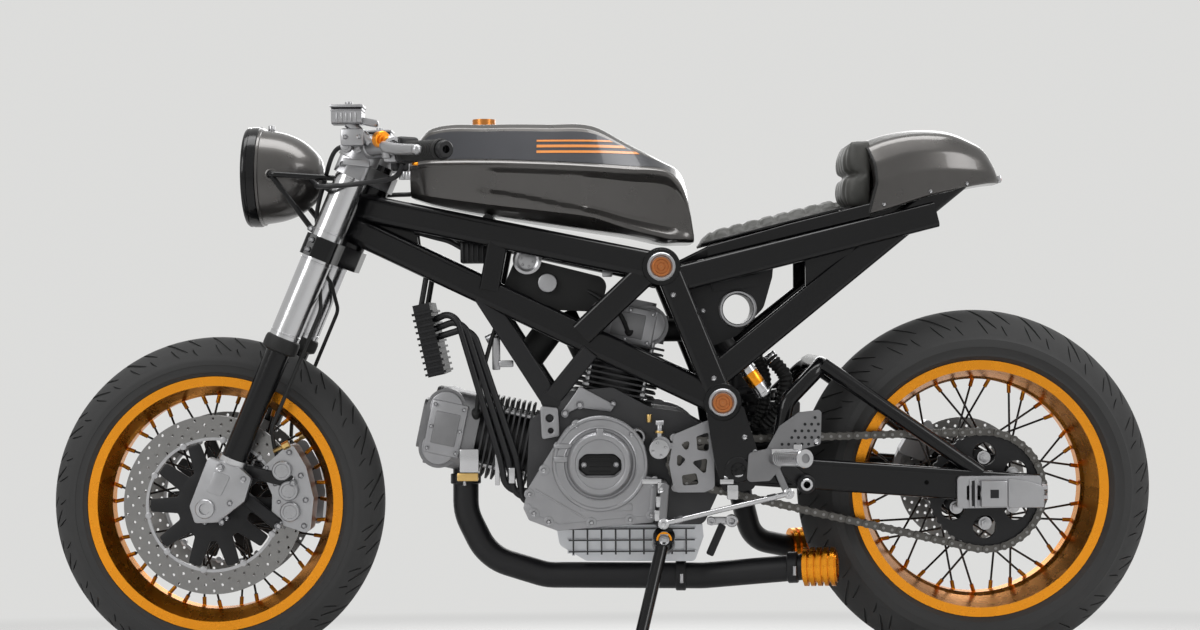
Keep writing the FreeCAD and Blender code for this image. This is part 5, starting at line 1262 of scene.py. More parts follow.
def add_leads():
    """Spark plugs, and leads clipped along the frame to the coils."""
    bm = bmesh.new()
    for points in ([(-214, -72, 458), (-204, -84, 520), (-180, -60, 610), (-150, -30, 690)],
                   [(60, -72, 600), (40, -82, 640), (-10, -60, 676), (-60, -40, 700)]):
        hose(bm, points, 4)
        start = Vector(points[0])
        rod(bm, start + Vector((0, 14, -6)), start + Vector((0, -2, 6)), 8, segments=18, chamfer=1.5)
    add_piece("plug_leads", bm, rubber())
    bm = bmesh.new()
    # Coils and the parts that show through the frame
    rod(bm, (-121, -40, 733), (-121, -74, 733), 25, segments=36, chamfer=3)
    rod(bm, (-85, -30, 692), (-85, -72, 692), 17, segments=30, chamfer=2)
    block(bm, (22, -70, 708), (18, 8, 12), chamfer=2)
    block(bm, (-178, -60, 566), (14, 14, 58), chamfer=2)
    block(bm, (-160, -66, 548), (26, 12, 12), chamfer=2)
    rod(bm, (-196, -50, 590), (-160, -50, 608), 8, segments=18, chamfer=1)
    add_piece("intake_fittings", bm, satin_alloy())
    bm = bmesh.new()
    # Regulator with its fins and loom, behind the frame's head
    block(bm, (-214, -52, 748), (54, 26, 40), chamfer=4)
    for k in range(6):
        block(bm, (-236 + 9 * k, -66, 748), (3, 6, 34), chamfer=0.8)
    rod(bm, (-188, -52, 738), (-166, -52, 732), 9, chamfer=1.5)
    hose(bm, [(-236, -50, 762), (-258, -46, 782), (-288, -36, 792), (-322, -24, 796)], 6)
    hose(bm, [(-236, -58, 754), (-262, -56, 768), (-290, -44, 776), (-324, -30, 786)], 4.5)
    add_piece("regulator", bm, satin_black())
    bm = bmesh.new()
    spin(bm, [(25.5, -70), (25.5, -78), (21, -80), (17, -78), (17, -70)], (-121, 0, 733), steps=40)
    for at in ring_of((-121, -76, 733), 12, 6):
        bolt(bm, at, LEFT, 2.2, 2)
    add_piece("intake_rings", bm, bolt_steel())


class RACER_OT_heads(bpy.types.Operator):
    """Cylinder heads: side covers, rocker caps, plugs with their leads, studs"""
    bl_idname = "racer.heads"
    bl_label = "Cylinder heads"

    def execute(self, context):
        add_head_covers()
        add_head_bolts()
        add_leads()
        return {"FINISHED"}


FORK_AHEAD = FORK_UP.cross(Y_AXIS).normalized()
FORK_Y = 107.0


def fork_point(station, y=0, ahead=0):
    """Point measured up the fork from the axle, and ahead of the legs."""
    return FRONT_AXLE + FORK_UP * station + FORK_AHEAD * (ahead - 8) + Y_AXIS * y


def add_fork_rings():
    """Seals, top caps and the thin rings round the outer tubes."""
    dark, bright = fresh(2)
    leg = fork_point(0, -FORK_Y)
    spin(dark, [(23, 300), (30.5, 304), (31.5, 309), (31.5, 320), (30, 326), (27.2, 328), (23, 328)], leg,
         FORK_UP, steps=40)
    spin(bright, [(20.5, 684), (22.5, 688.5), (22.5, 693), (20.5, 695), (0.5, 695), (0.5, 684)], leg, FORK_UP,
         steps=36)
    spin(bright, [(11, 694), (11, 701), (9.5, 702.5), (0.5, 702.5), (0.5, 694)], leg, FORK_UP, steps=24)
    for station in (334, 470, 528, 628):
        spin(bright, [(26.6, station), (27.7, station + 0.8), (27.7, station + 3.2), (26.6, station + 4)],
             leg, FORK_UP, steps=40)
    mirror_across(dark, bright)
    add_piece("fork_seals", dark, rubber(), "steering")
    add_piece("fork_caps", bright, polished_alloy(), "steering")


def add_fork_bolts():
    """Pinch bolts, axle end, clamp faces and the caliper's arms."""
    bm = bmesh.new()
    for station, spread in ((498, 9), (650, 0)):
        for lift in ((-spread, spread) if spread else (0,)):
            at = fork_point(station + lift, -FORK_Y - 33, 18)
            bolt(bm, at, -Y_AXIS - FORK_AHEAD * 0.2, 5, 6)
            bolt(bm, fork_point(station + lift, -FORK_Y + 20, 31), FORK_AHEAD, 4.6, 5)
    # Axle clamp: two pinch bolts behind the leg, axle end and the caliper bolts
    for station in (-10, 26):
        bolt(bm, fork_point(station, -FORK_Y - 29.5, -28), -Y_AXIS, 5.2, 6)
    spin(bm, [(11.5, -134), (17, -134), (17, -141), (15.5, -143), (10, -143), (9, -139), (9, -134)],
         FRONT_AXLE, steps=30)
    for station, ahead in ((96, -112), (16, -118)):
        bolt(bm, fork_point(station, -FORK_Y + 5, ahead), -Y_AXIS, 6, 8)
    bolt(bm, fork_point(78, -FORK_Y - 29.5, 12), -Y_AXIS, 7, 5)
    bolt(bm, fork_point(74, -FORK_Y - 29.5, -34), -Y_AXIS, 5.6, 5)
    mirror_across(bm)
    faces, arms = fresh(2)
    plate(faces, [(-679, 391), (-622, 369), (-604, 352), (-616, 312), (-664, 275), (-704, 274), (-713, 304)],
          -136.8, -120, corner=7, chamfer=2)
    plate(faces, [(-668, 366), (-640, 356), (-658, 320), (-684, 330)], -136, -138.6, corner=5, chamfer=0.9)
    for near, far, ahead in ((82, 96, -112), (46, 16, -118)):
        start = fork_point(near, -FORK_Y + 12, -18)
        bar(arms, start, fork_point(far, -FORK_Y + 12, ahead), 22, 16, chamfer=4.5)
    mirror_across(faces, arms)
    add_piece("clamp_faces", faces, satin_alloy(), "steering")
    add_piece("caliper_arms", arms, satin_black(), "steering")
    for y in (-30, 30):
        bolt(bm, fork_point(665, y, -6), FORK_UP, 4.5, 4)
    add_piece("fork_bolts", bm, bolt_steel(), "steering")


def round_axle(degrees, radius, y=0):
    """Point at an angle and a distance from the front axle."""
    turn = math.radians(degrees)
    return FRONT_AXLE + Vector((math.cos(turn) * radius, y, math.sin(turn) * radius))


def add_calipers():
    """Caliper covers, their bolts and the line's fitting."""
    bm, brassy = fresh(2)
    for angle in (-4, 11, 26):
        centre = round_axle(angle, 143)
        spin(bm, [(17.5, -94), (17.5, -104), (16, -106), (12.5, -106), (11.5, -104.6), (0.5, -104.6),
                  (0.5, -94)], centre, steps=36)
        for at in ring_of(centre - Y_AXIS * 104.4, 6.5, 4, start=0.6):
            rod(bm, at, at - Y_AXIS * 1.4, 1.6, segments=10)
    for angle in (-12, 3.5, 18.5, 34):
        bolt(bm, round_axle(angle, 170, -96), LEFT, 5.2, 6)
        bolt(bm, round_axle(angle, 122, -96), LEFT, 3.6, 4)
    mirror_across(bm)
    rod(brassy, (-556, -96, 404), (-544, -96, 410), 7, segments=6, chamfer=0.8)
    rod(brassy, (-572, -88, 396), (-556, -96, 404), 4, segments=14)
    mirror_across(brassy)
    add_piece("caliper_covers", bm, satin_alloy(), "steering")
    add_piece("caliper_fittings", brassy, brass(), "steering")


class RACER_OT_fork(bpy.types.Operator):
    """Fork: seals, caps, pinch bolts, axle nuts and caliper bolts"""
    bl_idname = "racer.fork"
    bl_label = "Fork"

    def execute(self, context):
        add_fork_rings()
        add_fork_bolts()
        add_calipers()
        return {"FINISHED"}


BAR_OUT = Vector((0.5728, -0.818, -0.0523)).normalized()
BAR_AHEAD = Vector((-0.819, -0.5736, 0)).normalized()
PERCH = Vector((-331.7, -221.5, 915.5))


def perch_point(forward, outward, up):
    """Point measured from the left lever's perch: ahead of the bar, outwards along it, and up."""
    return PERCH + BAR_AHEAD * forward + BAR_OUT * outward + Z_AXIS * up


def add_grips():
    """Ribbed grips and the weights at the bar's ends."""
    bm = bmesh.new()
    base = fork_point(680, -FORK_Y)
    start = base + BAR_OUT * 165
    profile = [(11.4, 0), (20.5, 0), (21.5, 2), (21.5, 5), (17, 8)]
    for k in range(18):
        along = 10 + 5.6 * k
        profile += [(16.9, along), (16.9, along + 3.4), (15.4, along + 4.1), (15.4, along + 5)]
    profile += [(17.4, 112), (18, 116), (18, 120), (16.5, 122), (11.4, 122)]
    spin(bm, profile, start - BAR_OUT * 1, BAR_OUT, steps=32)
    mirror_across(bm)
    add_piece("grip_ribs", bm, rubber(), "steering", ("grips",), sharp=30)
    bm = bmesh.new()
    spin(bm, [(6.6, 286.5), (13.5, 286.5), (15, 288.5), (15, 296), (13, 298.5), (6.6, 298.5)], base, BAR_OUT,
         steps=32)
    mirror_across(bm)
    add_piece("bar_ends", bm, satin_black(), "steering")


def add_masters():
    """Master cylinders with reservoirs, levers and reach adjusters."""
    bm = bmesh.new()
    # Reservoir lid with its two screws, a filler nub and a sight glass
    cup = PERCH + BAR_AHEAD * 68 - BAR_OUT * 56 + Z_AXIS * 58
    block(bm, cup + Z_AXIS * 15.5, (56, 48, 5), chamfer=1.5)
    block(bm, cup + Z_AXIS * 8, (54.5, 46, 2), chamfer=0.6)
    for x in (-20, 20):
        bolt(bm, cup + Vector((x, 0, 18)), (0, 0, 1), 3.4, 2.6, "button")
    rod(bm, cup + Vector((2, -4, 17)), cup + Vector((2, -4, 24)), 6.5, chamfer=1.2)
    for x in (-16, -8, 0, 8, 16):
        block(bm, cup + Vector((x, -22, -4)), (3, 2.5, 16), chamfer=0.7)
    # Body between the reservoir and the pump, with its screws
    block(bm, cup + Vector((8, 6, -36)), (40, 32, 30), chamfer=4)
    block(bm, cup + Vector((32, 0, -10)), (40, 22, 12), Matrix.Rotation(0.2, 3, "Y"), chamfer=4)
    for x in (-4, 20):
        bolt(bm, cup + Vector((x, -10, -36)), LEFT, 4.2, 3)
    # Pump: end cap, clamp halves, banjo bolts, reach link
    spin(bm, [(15.5, -62), (17, -60), (17, -50), (15.5, -48), (8, -48), (8, -62)], perch_point(26, 0, 8),
         BAR_OUT, steps=30)
    spin(bm, [(12, 18), (16.5, 18), (16.5, 25), (14, 28), (9, 28), (9, 18)], perch_point(26, 0, 8), BAR_OUT,
         steps=30)
    for out in (-9, 9):
        for up in (-15, 15):
            bolt(bm, perch_point(-17, out, up * 0.9), -BAR_AHEAD, 4, 5)
    block(bm, perch_point(12, 0, -2), (30, 26, 36), chamfer=4)
    for out, forward in ((-74, 40), (-66, 66)):
        at = perch_point(forward, out, 6)
        rod(bm, at - Y_AXIS * 9, at + Y_AXIS * 9, 9.5, segments=28, chamfer=1.2)
        rod(bm, at - Y_AXIS * 13, at - Y_AXIS * 9, 6, segments=6, chamfer=0.5)
    bar(bm, perch_point(24, -60, -22), perch_point(64, -84, -18), 12, 10, chamfer=2.5)
    rod(bm, perch_point(34, 18, 20), perch_point(34, 18, -14), 7.5, segments=24, chamfer=1)
    # Lever blade, with a ball end
    path = [perch_point(34, 18, 8), perch_point(52, 44, 5), perch_point(51, 90, 0), perch_point(46, 136, -2)]
    hose(bm, path, 8, segments=14, steps=5)
    bmesh.ops.create_icosphere(bm, subdivisions=2, radius=9,
                               matrix=Matrix.Translation(perch_point(46, 142, -3)))
    mirror_across(bm)
    add_piece("master_cylinders", bm, satin_alloy(), "steering")
    bm = bmesh.new()
    spin(bm, [(5, -9), (13, -9), (14.5, -7.5), (14.5, 5), (13, 6.5), (10, 6.5), (9, 12), (5, 12)],
         perch_point(36, 4, 18), BAR_OUT, steps=24)
    rod(bm, perch_point(36, 14, 18), perch_point(36, 26, 16), 6, chamfer=1)
    block(bm, perch_point(14, -22, 14), (16, 14, 18), chamfer=2.5)
    mirror_across(bm)
    add_piece("reach_adjusters", bm, orange_anodised(), "steering")


def add_switches():
    """Switch housings with their buttons, glands and leads."""
    bm = bmesh.new()
    turn = Matrix((BAR_AHEAD, BAR_OUT, Z_AXIS)).transposed()
    block(bm, perch_point(-2, 23, 2), (40, 22, 44), turn, chamfer=7, steps=3)
    block(bm, perch_point(-14, -24, -22), (26, 24, 22), turn, chamfer=5, steps=3)
    # Lead of the switches, round the fork leg and into the headlight's bowl
    hose(bm, [perch_point(0, 16, -20), perch_point(-2, -20, -44), perch_point(16, -70, -52),
              perch_point(42, -114, -58), (-472, -143, 862), (-488, -118, 864), (-495, -78, 870),
              (-514, -36, 882)], 4.5)
    mirror_across(bm)
    hose(bm, [perch_point(40, -72, 8), perch_point(74, -92, 0), fork_point(600, -64, 46),
              fork_point(552, -52, 40), fork_point(515, -50, 22)], 4)
    add_piece("switch_housings", bm, satin_black(), "steering")
    bm = bmesh.new()
    rod(bm, perch_point(-22, 22, 2), perch_point(-27, 22, 2), 6.5, chamfer=1.2)
    block(bm, perch_point(-16, 26, -21), (9, 7, 6), turn, chamfer=1.2)
    mirror_across(bm)
    add_piece("switch_buttons", bm, orange_anodised(), "steering")
    bm = bmesh.new()
    for forward, out in ((-12, 8), (-12, -12)):
        rod(bm, perch_point(forward, out, -34), perch_point(forward, out, -48), 5.5, segments=18, chamfer=1)
    mirror_across(bm)
    add_piece("switch_glands", bm, bolt_steel(), "steering")


class RACER_OT_controls(bpy.types.Operator):
    """Clip-on details: grips, switches, master cylinders with reservoirs, adjusters"""
    bl_idname = "racer.controls"
    bl_label = "Bar controls"

    def execute(self, context):
        add_grips()
        add_masters()
        add_switches()
        return {"FINISHED"}


class RacerHeadlight(bpy.types.PropertyGroup):
    """Round headlamp"""
    radius: FloatProperty(name="Radius", description="Outer radius of the bezel, mm", default=91.0, min=30.0)
    bulge: FloatProperty(name="Lens bulge", description="How far the glass stands out, mm", default=15.0)


def add_bowl(centre, radius, back, tail):
    """Open shell with its reflector, bulb and mounting bolts."""
    outer = [Vector((radius - 4.2, back + 0.5)), Vector((radius * 0.87, back + (tail - back) * 0.38)),
             Vector((radius * 0.7, back + (tail - back) * 0.68)), Vector((radius * 0.42, tail - 9)),
             Vector((16.5, tail - 1))]
    outer = [(p.x, p.y) for p in smooth_path(outer, 6)]
    inner = [(radius - 8, back + 0.5), (radius * 0.72, back + 34), (radius * 0.45, back + 52),
             (14, back + 60)]
    bm = bmesh.new()
    spin(bm, outer + [(0.5, tail)] + [(0.5, back + 61)] + inner[::-1], centre, X_AXIS, steps=72)
    spin(bm, [(radius - 4.6, back - 1), (radius - 2.2, back), (radius - 2.2, back + 4),
              (radius - 4.6, back + 5)], centre, X_AXIS, steps=72)
    for side in (-1, 1):
        at = Vector((back + 30, side * (radius - 12), centre.z - 2))
        rod(bm, at, at + Y_AXIS * (side * 12), 11, segments=24, chamfer=1.5)
    add_piece("headlight_shell", bm, tank_paint(), "steering", ("headlight_bowl",), sharp=40)
    bm = bmesh.new()
    dish = [(radius - 9.5, back - 2), (radius * 0.7, back + 30), (radius * 0.44, back + 48), (12, back + 56),
            (0.5, back + 56)]
    spin(bm, dish, centre, X_AXIS, steps=72, closed=False)
    add_piece("headlight_reflector", bm, polished_alloy(), "steering")
    bm = bmesh.new()
    rod(bm, (back + 54, 0, centre.z), (back + 24, 0, centre.z), 11, segments=24, chamfer=2)
    bolt(bm, (back - 4, 0, centre.z + radius - 2), (0, 0, 1), 4, 3)
    rod(bm, (back + 16, 0, centre.z + radius - 8), (back + 16, 0, centre.z + radius + 3), 6, segments=20,
        chamfer=1)
    add_piece("headlight_bulb", bm, bolt_steel(), "steering")
    bm = bmesh.new()
    for side in (-1, 1):
        bolt(bm, (back + 30, side * (radius + 1), centre.z - 2), (0, side, 0), 7.5, 5)
        bolt(bm, fork_point(524, side * (FORK_Y + 4), 30), (-0.3, side, 0), 5, 5)
    add_piece("headlight_bolts", bm, bolt_steel(), "steering")


def add_bezel(centre, radius, front, back):
    """Rolled ring round the glass."""
    bm = bmesh.new()
    depth = back - front
    spin(bm, [(radius - 8.6, back), (radius - 4.5, back + 1), (radius - 0.6, back - 1.5), (radius, back - 4),
              (radius, front + depth * 0.42), (radius - 1.6, front + depth * 0.36),
              (radius - 1.6, front + depth * 0.28), (radius - 0.4, front + depth * 0.22),
              (radius - 0.8, front + 3), (radius - 3, front + 0.4), (radius - 6, front),
              (radius - 8.6, front + 2.4)], centre, X_AXIS, steps=88)
    add_piece("headlight_bezel", bm, gloss_black(), "steering", ("headlight_rim",), sharp=40)


def add_glass(centre, radius, front, bulge):
    """Domed glass with a rim that sits in the bezel."""
    edge = radius - 9
    glass = [(edge * math.sin(k / 8 * math.pi / 2), front + 12 - bulge * math.cos(k / 8 * math.pi / 2))
             for k in range(9)]
    glass[0] = (0.4, glass[0][1])
    bm = bmesh.new()
    spin(bm, glass + [(edge, front + 15)] + [(r * 0.97, x + 3) for r, x in glass[::-1]], centre, X_AXIS,
         steps=72)
    add_piece("headlight_glass", bm, lamp_glass(), "steering", ("headlight_lens",), sharp=60)


class RACER_OT_headlight(bpy.types.Operator):
    """Headlamp: open bowl, reflector, bulb, domed glass and rolled bezel"""
    bl_idname = "racer.headlight"
    bl_label = "Headlight"

    def execute(self, context):
        lamp = context.scene.racer_headlight
        low, high = bike_box("headlight_rim")
        centre = Vector((0, 0, (low.z + high.z) / 2))
        front, back = low.x, high.x
        tail = bike_box("headlight_bowl")[1].x
        radius = lamp.radius
        add_bowl(centre, radius, back, tail)
        add_bezel(centre, radius, front, back)
        add_glass(centre, radius, front, lamp.bulge)
        return {"FINISHED"}


class RacerSeat(bpy.types.PropertyGroup):
    """Seat pads and tail cowl"""
    rib_pitch: FloatProperty(
        name="Rib pitch", description="Between the sewn channels, mm", default=27.0, min=8.0)
    channel_depth: FloatProperty(
        name="Channel depth", description="Depth of the sewn channels, mm", default=5.0, min=0.0)
    pressure: FloatProperty(name="Pressure", description="Cloth pressure that swells the pads", default=4.0)
    swell: FloatProperty(name="Swell", description="Most that a point may move, mm", default=6.0, min=0.0)


def rail_top(x):
    return 695.6 + 0.2451 * (x - 141.6) + 23.68


def swell_pad(piece, pressure, most, held_below):
    """Let pressure swell a pad as cloth; points under held_below, in bike millimetres, stay put."""
    scene = bpy.context.scene
    remesh = piece.modifiers.new("even_faces", "REMESH")
    remesh.mode = "VOXEL"
    remesh.voxel_size = 0.005
    bake_modifiers(piece)
    before = [vert.co.copy() for vert in piece.data.vertices]
    cloth = piece.modifiers.new("swelling", "CLOTH")
    cloth.settings.use_pressure = True
    cloth.settings.uniform_pressure_force = pressure
    cloth.settings.quality = 6
    cloth.settings.effector_weights.gravity = 0.0
    cloth.point_cache.frame_start = 1
    cloth.point_cache.frame_end = 20
    for number in range(1, 21):
        scene.frame_set(number)
    bake_modifiers(piece)
    scene.frame_set(1)
    limit = most * 0.001
    for vert, start in zip(piece.data.vertices, before):
        held = held_below(BIKE @ start)
        shift = (vert.co - start) * held
        if shift.length > limit:
            shift *= limit / shift.length
        vert.co = start + shift


def bake_modifiers(piece):
    """Put what the modifiers make into the piece's own mesh."""
    shown = piece.evaluated_get(bpy.context.evaluated_depsgraph_get())
    mesh = bpy.data.meshes.new_from_object(shown)
    piece.modifiers.clear()
    old = piece.data
    piece.data = mesh
    bpy.data.meshes.remove(old)


def finish_pad(piece, carve):
    """Sew the channels into a swollen pad, and smooth it once."""
    for vert in piece.data.vertices:
        point = BIKE @ vert.co
        vert.co = ROW @ carve(point)
    smooth = piece.modifiers.new("smooth", "SUBSURF")
    smooth.levels = 1
    smooth.render_levels = 1
    bake_modifiers(piece)
    piece.data.polygons.foreach_set("use_smooth", [True] * len(piece.data.polygons))


def add_seat(seat):
    """Ribbed seat pad on the rails."""
    low, high = bike_box("seat_pad")
    first, last = low.x + 2, high.x - 2
    rings = []
    for k in range(27):
        x = first + (last - first) * k / 26
        base = rail_top(x) + 25.6
        half = (high.y - 4) * (0.76 + 0.24 * between(first, first + 130, x)) - 6 * between(last - 60, last, x)
        rise = 15 * (0.4 + 0.6 * between(first, first + 26, x))
        outline = [(-half, base), (half, base), (half, base + rise * 0.7), (half * 0.6, base + rise + 2),
                   (-half * 0.6, base + rise + 2), (-half, base + rise * 0.7)]
        ring = rounded(outline, [2, 2, 9, 30, 30, 9], 4)
        rings.append([Vector((x, p.x, p.y)) for p in ring])
    bm = bmesh.new()
    loft(bm, rings)
    piece = add_piece("seat_ribbed_pad", bm, leather(), replaces=("seat_pad",))
    swell_pad(piece, seat.pressure, seat.swell, lambda p: between(27, 33, p.z - rail_top(p.x)))

    def carve(p):
        height = p.z - rail_top(p.x)
        phase = (p.x - first) / seat.rib_pitch
        gap = abs(phase - round(phase)) * seat.rib_pitch
        sink = seat.channel_depth * math.exp(-(gap / 3.2) ** 2) * between(30, 38, height)
        sink *= between(high.y - 2, high.y - 16, abs(p.y))
        return p - Z_AXIS * sink

    finish_pad(piece, carve)


def add_back(seat):
    """Back pad of two pleated rolls."""
    low, high = bike_box("seat_back_pad")
    middle = (low.z + high.z) / 2
    rings = []
    for k in range(17):
        z = low.z + 2 + (high.z - low.z - 4) * k / 16
        lean = 0.16 * (z - low.z)
        bow = 7 * abs(math.sin(math.pi * (z - low.z) / (high.z - low.z) * 2)) ** 0.6
        half = (high.y - 3) * (1 - 0.10 * ((z - middle) / (high.z - middle)) ** 2)
        front = low.x + 11 + lean * 0.2 - bow
        outline = [(front, -half), (front, half), (high.x - 8, half - 3), (high.x - 8, -half + 3)]
        ring = rounded(outline, [15, 15, 5, 5], 5)
        rings.append([Vector((p.x, p.y, z)) for p in ring])
    bm = bmesh.new()
    loft(bm, rings)
    piece = add_piece("seat_back_rolls", bm, leather(), replaces=("seat_back_pad",))
    swell_pad(piece, seat.pressure, seat.swell, lambda p: between(high.x - 9, high.x - 22, p.x))

    def carve(p):
        facing = between(high.x - 14, high.x - 30, p.x)
        seam = math.exp(-((p.z - middle) / 4.5) ** 2) * 9
        pleat = abs(p.y / 29 - round(p.y / 29)) * 29
        seam = max(seam, math.exp(-(pleat / 3) ** 2) * 3)
        return p + X_AXIS * (seam * facing)

    finish_pad(piece, carve)


def add_piping():
    """Piping along the foot of the seat pad."""
    low, high = bike_box("seat_pad")
    bm = bmesh.new()
    for side in (-1, 1):
        path = []
        for k in range(12):
            x = low.x + 6 + (high.x - low.x - 10) * k / 11
            half = (high.y - 3) * (0.76 + 0.24 * between(low.x + 2, low.x + 132, x))
            path.append((x, side * half, rail_top(x) + 27.5))
        hose(bm, path, 2.2, segments=8, steps=3)
    add_piece("seat_piping", bm, gloss_black())


class RACER_OT_seat(bpy.types.Operator):
    """Ribbed seat pad and two-roll back pad, swollen as cloth"""
    bl_idname = "racer.seat"
    bl_label = "Seat pads"

    def execute(self, context):
        seat = context.scene.racer_seat
        add_seat(seat)
        add_back(seat)
        add_piping()
        return {"FINISHED"}


# Cowl stations: x; heights of the lower edge, widest line and top; half widths at the same three
COWL_STATIONS = [
    (478, 808, 868, 940, 104, 108, 60), (520, 820, 876, 953, 104, 108, 62),
    (560, 831, 884, 961, 101, 105, 62), (600, 843, 889, 963, 94, 98, 58),
    (640, 852, 890, 959, 84, 88, 52), (676, 860, 889, 945, 71, 75, 44),
    (704, 865, 886, 928, 57, 61, 34), (722, 867, 878, 900, 42, 46, 24),
    (731, 867, 871, 880, 28, 30, 16),
]


def cowl_ring(x):
    """Closed outline of the cowl at one station; the front ones follow the hollowed front edge."""
    low, wide, top, low_half, wide_half, top_half = along_stations(COWL_STATIONS, x)
    right = [(low_half - 3, low), (low_half, low + 3), (wide_half, wide),
             (wide_half * 0.93, wide + (top - wide) * 0.42), (top_half + (wide_half - top_half) * 0.34,
                                                              top - (top - wide) * 0.14),
             (top_half * 0.55, top + 0.5)]
    radii = [3, 3, 30, 34, 30, 20]
    left = [(-y, z) for y, z in reversed(right)]
    ring = []
    for p in rounded(right + left, radii + radii[::-1], 5):
        hollow = 362.5 + math.sqrt(max(0, 137 ** 2 - (p.y - 871.5) ** 2)) - 478
        ring.append(Vector((x + hollow * between(570, 478, x), p.x, p.y)))
    return ring


def add_cowl():
    """Cowl shell, a dark band of painted shade along its front edge, fixings and the tail light."""
    bm = bmesh.new()
    first, last = COWL_STATIONS[0][0], COWL_STATIONS[-1][0]
    loft(bm, [cowl_ring(first + (last - first) * k / 60) for k in range(61)])
    add_piece("cowl_shell", bm, tank_paint(), replaces=("tail_cowl",), sharp=40)
    bm = bmesh.new()
    # Dark band along the cowl's front edge: painted shade for the gap seen at that edge
    edge = cowl_ring(first)
    start = max(range(len(edge)), key=lambda k: (edge[k] - edge[k - 1]).length)
    ordered = [p for p in edge[start:] + edge[:start] if p.z > 811]
    tube(bm, ordered, 2.6, 8)
    add_piece("cowl_edge_shade", bm, rubber())
    bm = bmesh.new()
    for side in (-1, 1):
        for x, z in ((512, 826), (596, 849), (664, 864)):
            half = along_stations(COWL_STATIONS, x)[3]
            bolt(bm, (x, side * (half + 0.5), z), (0, side, 0), 4, 2.6, "button")
    block(bm, (733, 0, 875), (8, 56, 13), chamfer=2.5)
    add_piece("cowl_fixings", bm, bolt_steel())
    bm = bmesh.new()
    block(bm, (735.5, 0, 875), (6, 48, 8), chamfer=2)
    add_piece("tail_lens", bm, red_lens())


class RACER_OT_tail(bpy.types.Operator):
    """Tail cowl with a dark band of painted shade along its front edge, fixings and the tail light"""
    bl_idname = "racer.tail"
    bl_label = "Tail cowl"

    def execute(self, context):
        add_cowl()
        return {"FINISHED"}


# (x, z) of the two joints of the frame's side
FRAME_JOINTS = ((115.6, 717.6), (220.9, 480.1))


def add_frame_details():
    """Plugs at the frame's joints, weld beads, pivot cap and bolts."""
    rings, centres, beads, bolts = fresh(4)
    for x, z in FRAME_JOINTS:
        spin(rings, [(24.6, -157.5), (24.6, -162), (23, -163.6), (20, -163.6), (17.8, -161), (16.6, -156),
                     (24.6, -156)], (x, 0, z), steps=48)
        spin(centres, [(17.2, -157.6), (17.2, -159.2), (12.6, -160.4), (11.8, -159), (7, -159), (6.2, -160.8),
                       (0.5, -160.8), (0.5, -157.6)], (x, 0, z), steps=40)
        for at in ring_of((x, -159, z), 9.4, 6):
            rod(centres, at, at - Y_AXIS * 1.1, 1.6, segments=10)
        spin(beads, [(32.5, -154.5), (33.6, -156), (32.5, -157.5), (30.5, -157.5), (30.5, -154.5)], (x, 0, z),
             steps=48)
    for x, y, z, r in ((136, -157, 668, 5), (206, -157, 522, 5), (188, -157, 640, 4), (258, -168, 420, 5),
                       (276, -168, 394, 5)):
        bolt(bolts, (x, y, z), LEFT, r, 3, "button")
    spin(beads, [(23, -168), (23, -171), (20.5, -173), (13, -173), (12, -170), (0.5, -170), (0.5, -168)],
         (246, 0, 364), steps=40)
    mirror_across(rings, centres, beads, bolts)
    spin(rings, [(26.8, -77), (26.8, -81), (28.5, -83), (31.5, -83), (34, -80.5), (34, -77)], (254, 0, 643),
         steps=48)
    add_piece("plug_rings", rings, satin_alloy())
    add_piece("plug_centres", centres, copper())
    add_piece("frame_beads", beads, gloss_black())
    add_piece("frame_bolts", bolts, bolt_steel())


class RACER_OT_frame(bpy.types.Operator):
    """Frame: plug rings and centres, weld beads and bolts"""
    bl_idname = "racer.frame_details"
    bl_label = "Frame details"

    def execute(self, context):
        add_frame_details()
        return {"FINISHED"}


PEG_PIVOT = Vector((363.6, 0, 338.5))


